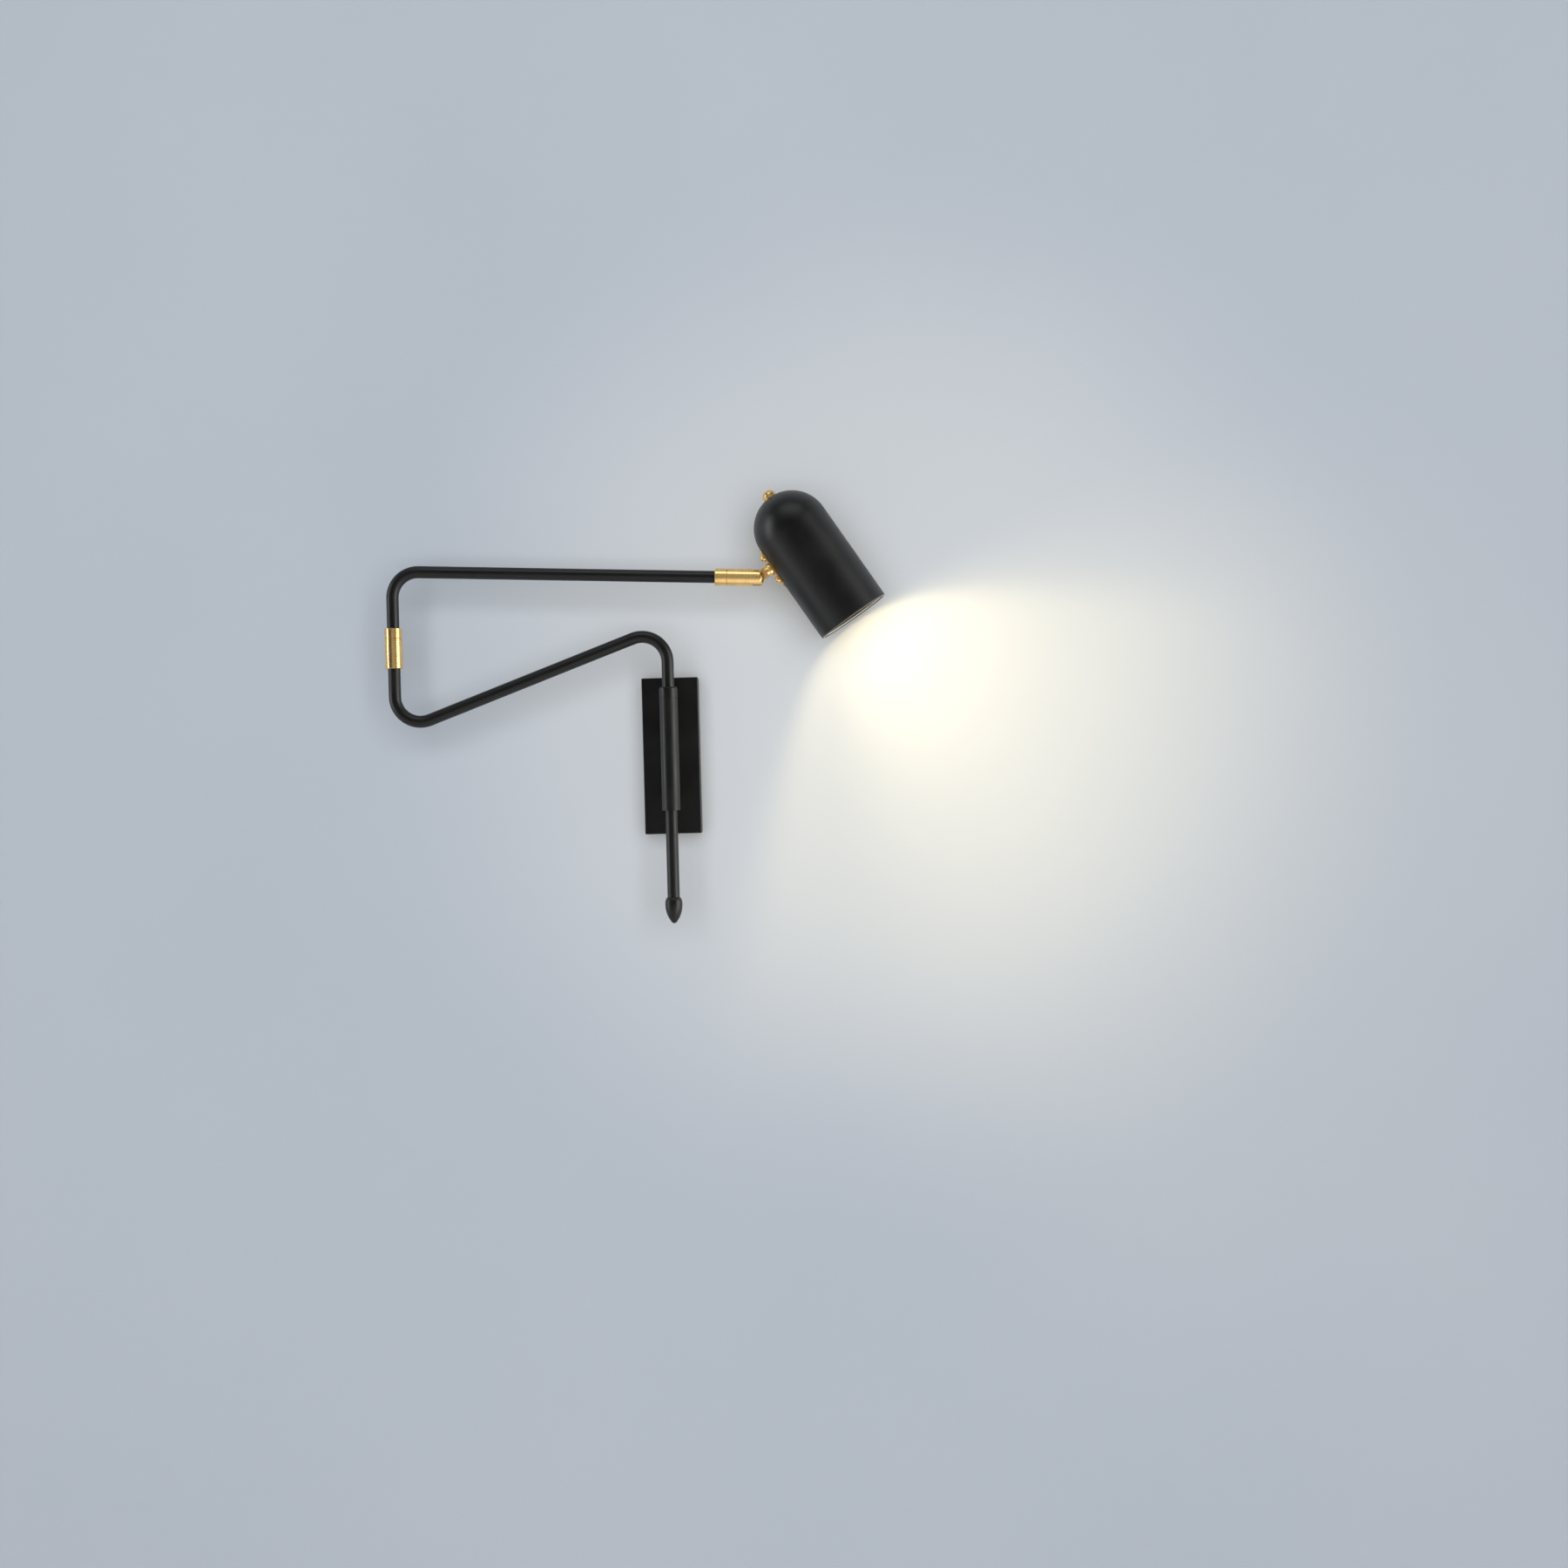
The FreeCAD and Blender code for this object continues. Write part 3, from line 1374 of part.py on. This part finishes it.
def bulb_globe():
    """Opal globe of the bulb."""
    inside = "(bulb_radius - globe_wall)"
    body = turned("bulb_globe", [
        (GLOBE_INSIDE, "globe_start"),
        (GLOBE_EDGE, "globe_start", "bulb_radius"),
        ("0", "bulb_centre + bulb_radius"),
        ("0", "bulb_centre + " + inside, "-" + inside),
    ])
    return place(body, **SHADE)


def swivel_parts(prefix, frame):
    """The hidden spindle, nut and washers of one swivel."""
    return [
        place(swivel_spindle(prefix + "_spindle"), **frame),
        place(friction_washer(prefix + "_friction_washer"), **frame),
        place(wave_washer(prefix + "_wave_washer"), **frame),
        place(swivel_nut(prefix + "_nut"), **frame),
    ]


def make_nodes():
    """Make every sub-part, from the wall to the bulb."""
    wall = [backplate_cover(), wall_bracket(), cover_screws(), terminal_block(), terminal_screws(),
            earth_screw(), pivot_sleeve(), sleeve_standoffs(), standoff_washers(), standoff_nuts(),
            sleeve_bushes(), thrust_washer(), stop_screw(), supply_lead()]
    lower_arm = [lower_arm_tube(), stop_collar(), collar_grub_screw(), finial_insert(), drop_finial(),
                 elbow_socket(), elbow_grub_screw(), lower_arm_cable()]
    upper_arm = [upper_arm_tube(), elbow_cap(), head_ferrule(), upper_arm_grub_screws(), upper_arm_cable()]
    swivels = swivel_parts("elbow", ELBOW) + swivel_parts("head", HEAD_SEAM)
    knuckle = [head_barrel(), knuckle_clevis(), knuckle_pins(), knuckle_cable(), knuckle_tongue(),
               knuckle_washers()]
    head = [saddle_plate(), saddle_screws(), saddle_nuts(), stud_nut(), shade(), reflector(), cap_nut(),
            holder_nipple(), nipple_washer(), nipple_locknut(), lampholder(), holder_shell(),
            holder_contact(), reflector_ring(), head_cable(), bulb_base(), bulb_collar(), bulb_globe()]
    return wall + lower_arm + upper_arm + swivels + knuckle + head


def write_nodes(nodes):
    """Check every object and every sub-part's shape, then write one STEP file for each sub-part."""
    doc.recompute()
    faults = [item.Name for item in doc.Objects if {"Invalid", "Error"} & set(item.State)]
    faults += [node.Label for node in nodes if node.Shape.isNull() or not node.Shape.isValid()]
    if faults:
        raise ValueError("failed objects: " + ", ".join(faults))
    os.makedirs("parts", exist_ok=True)
    for node in nodes:
        node.Shape.exportStep("parts/%s.step" % node.Label)


write_nodes(make_nodes())
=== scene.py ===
import json
import math

import bpy
from mathutils import Matrix, Vector

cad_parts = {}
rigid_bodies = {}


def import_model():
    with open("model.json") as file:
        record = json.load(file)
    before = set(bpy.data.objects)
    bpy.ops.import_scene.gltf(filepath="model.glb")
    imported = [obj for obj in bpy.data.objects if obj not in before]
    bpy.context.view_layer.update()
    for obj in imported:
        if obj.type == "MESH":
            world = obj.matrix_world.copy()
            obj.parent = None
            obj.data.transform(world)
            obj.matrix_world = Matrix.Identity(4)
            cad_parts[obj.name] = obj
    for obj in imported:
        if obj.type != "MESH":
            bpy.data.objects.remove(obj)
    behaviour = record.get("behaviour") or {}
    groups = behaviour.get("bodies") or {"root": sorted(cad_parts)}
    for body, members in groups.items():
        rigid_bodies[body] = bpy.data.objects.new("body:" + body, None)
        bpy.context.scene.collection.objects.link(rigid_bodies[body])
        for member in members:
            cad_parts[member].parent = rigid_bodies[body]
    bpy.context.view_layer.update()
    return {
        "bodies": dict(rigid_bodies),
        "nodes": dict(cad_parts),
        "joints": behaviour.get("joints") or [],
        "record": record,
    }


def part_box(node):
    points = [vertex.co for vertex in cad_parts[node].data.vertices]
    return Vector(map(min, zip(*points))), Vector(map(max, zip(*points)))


# A wall-mounted swing arm lamp with a bullet shade, lit, on its wall. Metres, in the row frame:
# X to the right along the wall, Z up, and the wall is the plane Y = 0 with the room on its -Y side.

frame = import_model()
scene = bpy.context.scene
scene.view_settings.view_transform = "Standard"

# the axes that the brass pieces are turned about, and the shade's angle below level
HINGES = {joint["name"]: joint for joint in frame["joints"]}
VERTICAL = (0.0, 0.0, 1.0)
ARM_AXIS = tuple(HINGES["head_roll"]["axis"])
HEAD_TILT = math.radians(56.4)
TONGUE_AXIS = (math.sin(HEAD_TILT), 0.0, math.cos(HEAD_TILT))
SHADE_AXIS = (math.cos(HEAD_TILT), 0.0, -math.sin(HEAD_TILT))

# painted shade on the reflector's enamel at the shade's mouth: how far in its black band of painted shade
# starts and stops, how soft the edges of the paint are, and the black and the grey of the painted shade
SHADE_BAND_DEPTH = 0.0065
LIP_WIDTH = 0.0008
PAINT_EDGE = 0.0002
PAINTED_SHADE_BLACK = (0.004, 0.004, 0.004, 1)
PAINTED_SHADE_GREY = (0.16, 0.155, 0.135, 1)


def mouth_station():
    """How far along the shade's axis from the origin its mouth lies."""
    return max(Vector(SHADE_AXIS).dot(vertex.co) for vertex in frame["nodes"]["shade"].data.vertices)


# ---- shader helpers ----

NOISE_RANGE = (0.3, 0.7)
LATHE_DETAIL = 4.0


class Shader:
    """A material being made: its node tree, its main shader and short ways to add nodes."""

    def __init__(self, name, **constants):
        self.material = bpy.data.materials.new(name)
        self.material.use_nodes = True
        self.nodes = self.material.node_tree.nodes
        self.links = self.material.node_tree.links
        self.surface = self.nodes["Principled BSDF"]
        for socket, setting in constants.items():
            self.surface.inputs[socket.replace("_", " ")].default_value = setting

    def add(self, kind, **settings):
        """Add a node and set its properties."""
        node = self.nodes.new("ShaderNode" + kind)
        for name, setting in settings.items():
            setattr(node, name, setting)
        return node

    def link(self, output, target):
        """Join an output socket to an input socket."""
        self.links.new(output, target)

    def place(self):
        """The surface point in the row frame, as it is at rest."""
        return self.add("TexCoord").outputs["Object"]

    def noise(self, scale, detail=3.0, roughness=0.5):
        """Noise from 0 to 1 over the surface, with features of about 1 / scale metres."""
        node = self.add("TexNoise")
        node.inputs["Scale"].default_value = scale
        node.inputs["Detail"].default_value = detail
        node.inputs["Roughness"].default_value = roughness
        self.link(self.place(), node.inputs["Vector"])
        return node.outputs["Fac"]

    def lines(self, axis, scale):
        """Noise that changes only along an axis, as the marks of a lathe do."""
        along = self.add("VectorMath", operation="DOT_PRODUCT")
        self.link(self.place(), along.inputs[0])
        along.inputs[1].default_value = axis
        node = self.add("TexNoise", noise_dimensions="1D")
        node.inputs["Scale"].default_value = scale
        node.inputs["Detail"].default_value = LATHE_DETAIL
        self.link(along.outputs["Value"], node.inputs["W"])
        return node.outputs["Fac"]

    def span(self, value, low, high, start=NOISE_RANGE[0], end=NOISE_RANGE[1]):
        """Map a value from start..end to low..high."""
        node = self.add("MapRange")
        self.link(value, node.inputs["Value"])
        for socket, setting in (("From Min", start), ("From Max", end), ("To Min", low), ("To Max", high)):
            node.inputs[socket].default_value = setting
        return node.outputs["Result"]

    def blend_colours(self, value, first, second):
        """A colour between two, by a value that lies mostly within the noise's usual range."""
        node = self.add("ValToRGB")
        for stop, position, colour in zip(node.color_ramp.elements, NOISE_RANGE, (first, second)):
            stop.position = position
            stop.color = (*colour, 1)
        self.link(value, node.inputs["Fac"])
        return node.outputs["Color"]

    def cover(self, under, value, colour):
        """One paint laid over a colour where a value is one."""
        node = self.add("MixRGB")
        node.inputs["Color2"].default_value = colour
        self.link(value, node.inputs["Fac"])
        self.link(under, node.inputs["Color1"])
        return node.outputs["Color"]

    def bump(self, height, depth, strength=1.0, under=None):
        """A bump of a height field whose full depth is in metres."""
        node = self.add("Bump")
        node.inputs["Distance"].default_value = depth
        node.inputs["Strength"].default_value = strength
        self.link(height, node.inputs["Height"])
        if under:
            self.link(under, node.inputs["Normal"])
        return node.outputs["Normal"]

    def drive(self, **sockets):
        """Link outputs to the main shader's inputs."""
        for socket, output in sockets.items():
            self.link(output, self.surface.inputs[socket.replace("_", " ")])
        return self.material


# ---- materials ----

def satin_black():
    """Satin black powder coat with a fine, even texture."""
    shader = Shader("satin_black", Specular_IOR_Level=0.60)
    grain = shader.noise(1900, 2.0)
    waves = shader.noise(240, 2.0)
    clouds = shader.noise(35, 3.0)
    normal = shader.bump(waves, 0.00006, 0.3)
    normal = shader.bump(grain, 0.00003, 0.4, normal)
    return shader.drive(
        Base_Color=shader.blend_colours(clouds, (0.0016, 0.0016, 0.0015), (0.0030, 0.0030, 0.0027)),
        Roughness=shader.span(clouds, 0.38, 0.48),
        Normal=normal,
    )


def polished_brass(name, axis):
    """Polished, lacquered brass with faint turning marks about an axis."""
    shader = Shader("polished_brass_" + name, Metallic=1.0)
    marks = shader.lines(axis, 2600)
    tarnish = shader.noise(120, 3.0)
    return shader.drive(
        Base_Color=shader.blend_colours(tarnish, (0.86, 0.56, 0.22), (0.92, 0.64, 0.28)),
        Roughness=shader.span(marks, 0.22, 0.32),
        Normal=shader.bump(marks, 0.00001, 0.5),
    )


def plain_brass():
    """Brass as it comes off the lathe."""
    shader = Shader("plain_brass", Metallic=1.0)
    stain = shader.noise(300, 3.0)
    return shader.drive(
        Base_Color=shader.blend_colours(stain, (0.62, 0.43, 0.19), (0.76, 0.55, 0.27)),
        Roughness=shader.span(stain, 0.28, 0.42),
        Normal=shader.bump(shader.noise(1500), 0.00004, 0.3),
    )


def zinc_steel():
    """Zinc-plated pressed steel."""
    shader = Shader("zinc_steel", Metallic=1.0)
    flakes = shader.noise(260, 5.0, 0.65)
    return shader.drive(
        Base_Color=shader.blend_colours(flakes, (0.50, 0.52, 0.54), (0.68, 0.69, 0.70)),
        Roughness=shader.span(flakes, 0.30, 0.46),
        Normal=shader.bump(shader.noise(900, 4.0), 0.00005, 0.35),
    )


def white_enamel_and_painted_shade():
    """White stove enamel of the reflector, with painted shade: a black band inside its mouth and grey on the
    fold at its rim.
    """
    shader = Shader("white_enamel_and_painted_shade", Coat_Weight=0.3, Coat_Roughness=0.12)
    peel = shader.noise(420, 2.0)
    along = shader.add("VectorMath", operation="DOT_PRODUCT")
    shader.link(shader.place(), along.inputs[0])
    along.inputs[1].default_value = SHADE_AXIS
    mouth = mouth_station()
    # a black band of painted shade inside the mouth, from its depth out to the white lip
    shade_band = shader.add("Math", operation="MULTIPLY")
    edges = (0.0, 1.0, mouth - SHADE_BAND_DEPTH), (1.0, 0.0, mouth - LIP_WIDTH)
    for entry, (low, high, station) in enumerate(edges):
        edge = shader.span(along.outputs["Value"], low, high, station, station + PAINT_EDGE)
        shader.link(edge, shade_band.inputs[entry])
    white = shader.blend_colours(shader.noise(30), (0.82, 0.80, 0.74), (0.88, 0.86, 0.81))
    white_with_shade_band = shader.cover(white, shade_band.outputs["Value"], PAINTED_SHADE_BLACK)
    # painted shade: grey laid over the fold at the rim
    shaded_fold = shader.span(along.outputs["Value"], 0.0, 1.0, mouth - PAINT_EDGE, mouth)
    return shader.drive(
        Base_Color=shader.cover(white_with_shade_band, shaded_fold, PAINTED_SHADE_GREY),
        Roughness=shader.span(peel, 0.32, 0.44),
        Normal=shader.bump(peel, 0.00005, 0.4),
    )


def moulded(name, dark, light, roughness, grain=1100, **constants):
    """A moulded or pressed insulating material with a fine grain."""
    shader = Shader(name, **constants)
    tone = shader.noise(90, 4.0)
    texture = shader.noise(grain, 3.0)
    return shader.drive(
        Base_Color=shader.blend_colours(tone, dark, light),
        Roughness=shader.span(texture, roughness - 0.06, roughness + 0.06),
        Normal=shader.bump(texture, 0.00005, 0.4),
    )


def opal_globe():
    """Opal bulb globe, lit warm white."""
    shader = Shader("opal_globe", Emission_Color=(1.0, 0.86, 0.66, 1.0), Emission_Strength=1.2)
    frost = shader.noise(700, 3.0)
    return shader.drive(
        Base_Color=shader.blend_colours(shader.noise(60), (0.88, 0.84, 0.74), (0.93, 0.90, 0.82)),
        Roughness=shader.span(frost, 0.28, 0.40),
        Normal=shader.bump(frost, 0.00003, 0.3),
    )


def painted_wall():
    """Pale blue-grey matt wall paint, which doesn't show from behind the wall."""
    shader = Shader("painted_wall", Specular_IOR_Level=0.2)
    clouds = shader.noise(1.4, 4.0)
    roller = shader.noise(260, 3.0)
    shader.drive(
        Base_Color=shader.blend_colours(clouds, (0.500, 0.530, 0.595), (0.530, 0.555, 0.610)),
        Roughness=shader.span(roller, 0.78, 0.92),
        Normal=shader.bump(roller, 0.0002, 0.25),
    )
    clear = shader.add("BsdfTransparent")
    either = shader.add("MixShader")
    side = shader.add("NewGeometry").outputs["Backfacing"]
    shader.link(side, either.inputs["Fac"])
    shader.link(shader.surface.outputs["BSDF"], either.inputs[1])
    shader.link(clear.outputs["BSDF"], either.inputs[2])
    shader.link(either.outputs["Shader"], shader.nodes["Material Output"].inputs["Surface"])
    return shader.material


def pale_floor():
    """Plain pale floor."""
    shader = Shader("pale_floor")
    tone = shader.noise(2.5, 4.0)
    return shader.drive(
        Base_Color=shader.blend_colours(tone, (0.58, 0.57, 0.55), (0.64, 0.63, 0.61)),
        Roughness=shader.span(tone, 0.55, 0.7),
    )


# ---- finishes of the CAD nodes ----

BRASS_AXES = {
    "elbow": VERTICAL,
    "swivel": ARM_AXIS,
    "tongue": TONGUE_AXIS,
    "cap": SHADE_AXIS,
}
BRASS_NODES = {
    "elbow_socket": "elbow",
    "elbow_cap": "elbow",
    "head_ferrule": "swivel",
    "swivel_barrel": "swivel",
    "knuckle_clevis": "swivel",
    "knuckle_pins": "swivel",
    "knuckle_tongue": "tongue",
    "saddle_screws": "tongue",
    "saddle_plate": "cap",
    "cap_nut": "cap",
}


def finish_nodes():
    """Give every CAD node its material, by the record's slot or, for brass, by its turning axis."""
    by_slot = {
        "black_paint": satin_black(),
        "zinc_steel": zinc_steel(),
        "plain_brass": plain_brass(),
        "white_paint": white_enamel_and_painted_shade(),
        "bush_acetal": moulded("bush_acetal", (0.014, 0.014, 0.015), (0.022, 0.022, 0.023), 0.4),
        "fibre": moulded("fibre", (0.22, 0.08, 0.045), (0.34, 0.14, 0.08), 0.65, 1800),
        "block_plastic": moulded("block_plastic", (0.78, 0.78, 0.75), (0.84, 0.84, 0.82), 0.42),
        "holder_plastic": moulded("holder_plastic", (0.74, 0.72, 0.67), (0.82, 0.80, 0.75), 0.45),
        "glazed_ceramic": moulded("glazed_ceramic", (0.84, 0.81, 0.74), (0.90, 0.88, 0.82), 0.25, 600,
                                  Coat_Weight=0.6, Coat_Roughness=0.08),
        "cable_sheath": moulded("cable_sheath", (0.028, 0.028, 0.029), (0.042, 0.042, 0.043), 0.5),
        "bulb_metal": moulded("bulb_metal", (0.70, 0.70, 0.70), (0.80, 0.80, 0.80), 0.35, 900, Metallic=1.0),
        "bulb_plastic": moulded("bulb_plastic", (0.84, 0.84, 0.81), (0.90, 0.90, 0.88), 0.35),
        "opal_globe": opal_globe(),
    }
    brass = {name: polished_brass(name, axis) for name, axis in BRASS_AXES.items()}
    for part in frame["record"]["subparts"]:
        node = part["node"]
        if node in BRASS_NODES:
            finish = brass[BRASS_NODES[node]]
        else:
            finish = by_slot[part["material_slot"]]
        mesh = frame["nodes"][node].data
        mesh.materials.clear()
        mesh.materials.append(finish)


# ---- stage ----

WALL_GAP = 0.0004
WALL_HALF = 2.6
FLOOR_DROP = 1.25


def add_plane(name, half_x, half_y, place, turn, finish):
    """Add a stage plane, turned about X."""
    mesh = bpy.data.meshes.new(name)
    corners = [(-half_x, -half_y, 0), (half_x, -half_y, 0), (half_x, half_y, 0), (-half_x, half_y, 0)]
    mesh.from_pydata(corners, [], [(0, 1, 2, 3)])
    plane = bpy.data.objects.new(name, mesh)
    plane.matrix_world = Matrix.Translation(place) @ Matrix.Rotation(turn, 4, "X")
    mesh.materials.append(finish)
    scene.collection.objects.link(plane)
    return plane


def build_stage():
    """The wall that the lamp hangs on and the floor far below it."""
    wall_centre = Vector((0, WALL_GAP, WALL_HALF - FLOOR_DROP))
    floor = add_plane("floor", 2 * WALL_HALF, 2 * WALL_HALF, Vector((0, 0, -FLOOR_DROP)), 0.0, pale_floor())
    wall = add_plane("wall", WALL_HALF, WALL_HALF, wall_centre, math.radians(90), painted_wall())
    return floor, wall


# ---- lights ----

# softboxes: name, place, point that it faces, width, height, watts and colour
LAMP_BOXES = (
    ("window_left", (-3.2, -0.9, 0.3), (0, 0, 0.05), 0.6, 3.0, 34, (0.97, 0.98, 1.0)),
    ("window_right", (3.0, -1.25, 0.2), (0, 0, 0.05), 2.2, 3.0, 66, (1.0, 0.99, 0.97)),
    ("ceiling", (0, -1.6, 2.6), (0, 0, 0.0), 2.6, 1.0, 16, (0.97, 0.98, 1.0)),
    ("glow", (1.0, -1.0, -0.8), (0.3, 0, -0.05), 0.5, 0.5, 3, (1.0, 0.93, 0.80)),
)
CARD_COLOUR = (1.0, 0.97, 0.90)
BRASS_CARDS = (
    ("front_card", (0.1, -2.8, 1.0), (0.1, 0, 1.0), 2.4, 3.0, 7.2, CARD_COLOUR),
    ("upper_card", (0.1, -1.4, 2.4), (0.1, -1.4, 0), 3.0, 2.4, 12, CARD_COLOUR),
    ("lower_card", (0.1, -1.2, -1.1), (0.1, -1.2, 0), 3.0, 1.8, 9, CARD_COLOUR),
)
WALL_WASH = ("wall_wash", (0.15, -3.7, 0.0), (0.1, 0, 0), 5.0, 5.0, 205, (0.935, 0.985, 0.995))
FLOOR_WASH = ("floor_wash", (0, -2.0, 3.0), (0, -2.0, 0), 7.0, 7.0, 300, (1, 1, 1))

# the glow that the lamp scatters about the wall, from a place off the shade's mouth
GLOW_OFFSET = Vector((0.05, -1.1, -0.08))
GLOW_HALF_ANGLE = math.radians(26)
GLOW_POWER = 15
GLOW_COLOUR = (1.0, 0.84, 0.56)

# the bulb's light: name, degrees that a beam is tilted up from the shade's axis and turned to the wall,
# half angle in degrees, blend, metres at which it starts to fade and is gone, and watts
BEAMS = (
    ("bulb_beam", 3, 30, 60.5, 0.32, (0.24, 0.54), 34),
    ("bulb_spill", 27, 25, 64, 1.0, (0.36, 0.95), 40),
)
# metres from the middle of the bulb's globe to the shade's mouth, and from the wall to the beams
BEAM_STATION = 0.0375
BEAM_HEIGHT = 0.068
BEAM_COLOUR = (1.0, 0.80, 0.40)
BEAM_RADIUS = 0.012
SHADED_FROM_BEAMS = ("shade", "reflector")

ROOM_COLOUR = (0.92, 0.95, 1.0, 1)
ROOM_LIGHT = 0.06
ROOM_BRIGHTNESS = 0.6


def add_light(name, light, place, direction):
    """Put a light at a place, facing a direction."""
    lamp = bpy.data.objects.new(name, light)
    lamp.location = place
    lamp.rotation_euler = Vector(direction).to_track_quat("-Z", "Y").to_euler()
    scene.collection.objects.link(lamp)
    return lamp


def add_softbox(name, place, target, width, height, power, colour):
    """Add a rectangular studio light that faces a point."""
    light = bpy.data.lights.new(name, "AREA")
    light.shape = "RECTANGLE"
    light.size = width
    light.size_y = height
    light.energy = power
    light.color = colour
    return add_light(name, light, place, Vector(target) - Vector(place))


def add_spot(name, place, direction, half_angle, blend, power, colour):
    """Add a round spot light."""
    light = bpy.data.lights.new(name, "SPOT")
    light.spot_size = 2 * half_angle
    light.spot_blend = blend
    light.energy = power
    light.color = colour
    return add_light(name, light, place, direction)


def light_only(lamps, takers):
    """Let lights fall on some objects only."""
    receivers = bpy.data.collections.new(lamps[0].name + "_takers")
    for taker in takers:
        receivers.objects.link(taker)
    for lamp in lamps:
        lamp.light_linking.receiver_collection = receivers


def fade_out(light, near, far):
    """Keep a light's strength the same out to near metres, then fade it to nothing at far metres."""
    light.use_nodes = True
    nodes = light.node_tree.nodes
    links = light.node_tree.links
    falloff = nodes.new("ShaderNodeLightFalloff")
    falloff.inputs["Strength"].default_value = 1.0
    fade = nodes.new("ShaderNodeMapRange")
    fade.interpolation_type = "SMOOTHSTEP"
    for socket, setting in (("From Min", near), ("From Max", far), ("To Min", 1.0), ("To Max", 0.0)):
        fade.inputs[socket].default_value = setting
    strength = nodes.new("ShaderNodeMath")
    strength.operation = "MULTIPLY"
    links.new(falloff.outputs["Linear"], fade.inputs["Value"])
    links.new(fade.outputs["Result"], strength.inputs[0])
    links.new(falloff.outputs["Constant"], strength.inputs[1])
    links.new(strength.outputs["Value"], nodes["Emission"].inputs["Strength"])


def mouth_centre():
    """The middle of the shade's mouth."""
    low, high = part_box("bulb_globe")
    return (low + high) / 2 + Vector(SHADE_AXIS) * BEAM_STATION


def add_beam(name, tilt, turn, half_angle, blend, reach, power):
    """Add a round beam out of the shade's mouth, which moves with the head."""
    below_level = HEAD_TILT - math.radians(tilt)
    turn = math.radians(turn)
    along = Vector((math.cos(below_level), 0.0, -math.sin(below_level)))
    place = mouth_centre()
    place.y = -BEAM_HEIGHT
    direction = along * math.cos(turn) + Vector((0, math.sin(turn), 0))
    lamp = add_spot(name, place, direction, math.radians(half_angle), blend, power, BEAM_COLOUR)
    lamp.data.shadow_soft_size = BEAM_RADIUS
    fade_out(lamp.data, *reach)
    lamp.parent = frame["bodies"]["head"]
    return lamp


def add_room():
    """A pale room whose light on the lamp is dim, so that the softboxes draw its shape."""
    world = bpy.data.worlds.new("room")
    world.use_nodes = True
    nodes = world.node_tree.nodes
    nodes["Background"].inputs["Color"].default_value = ROOM_COLOUR
    shown = nodes.new("ShaderNodeLightPath").outputs["Is Camera Ray"]
    strength = nodes.new("ShaderNodeMapRange")
    strength.inputs["To Min"].default_value = ROOM_LIGHT
    strength.inputs["To Max"].default_value = ROOM_BRIGHTNESS
    world.node_tree.links.new(shown, strength.inputs["Value"])
    world.node_tree.links.new(strength.outputs["Result"], nodes["Background"].inputs["Strength"])
    scene.world = world


def light_scene(floor, wall):
    """A dim room, softboxes for the lamp, the lit bulb, and a wash for the stage."""
    add_room()
    pieces = frame["nodes"]
    light_only([add_softbox(*box) for box in LAMP_BOXES], pieces.values())
    light_only([add_softbox(*card) for card in BRASS_CARDS], [pieces[name] for name in BRASS_NODES])
    outside = [piece for name, piece in pieces.items() if name not in SHADED_FROM_BEAMS]
    light_only([add_beam(*beam) for beam in BEAMS], outside + [floor, wall])
    wash = add_softbox(*WALL_WASH)
    towards_wall = Vector((0, 1, 0))
    glow = add_spot("wall_glow", mouth_centre() + GLOW_OFFSET, towards_wall, GLOW_HALF_ANGLE, 1.0,
                    GLOW_POWER, GLOW_COLOUR)
    glow.data.use_shadow = False
    light_only([wash, glow], [wall])
    light_only([add_softbox(*FLOOR_WASH)], [floor])


# ---- camera and sizes ----

CAMERA_PLACE = (0.111, -1.98, -0.031)
CAMERA_ROLL = math.radians(1.5)
CAMERA_LENS = 45.2
SENSOR_WIDTH = 36.0


def add_camera():
    """The camera straight in front of the wall, rolled a little, because the photograph is askew."""
    camera = bpy.data.cameras.new("camera")
    camera.lens = CAMERA_LENS
    camera.sensor_width = SENSOR_WIDTH
    viewer = bpy.data.objects.new("camera", camera)
    upright = Matrix.Rotation(math.radians(90), 4, "X")
    roll = Matrix.Rotation(CAMERA_ROLL, 4, "Y")
    viewer.matrix_world = Matrix.Translation(CAMERA_PLACE) @ roll @ upright
    scene.collection.objects.link(viewer)
    scene.camera = viewer


add_camera()
finish_nodes()
light_scene(*build_stage())
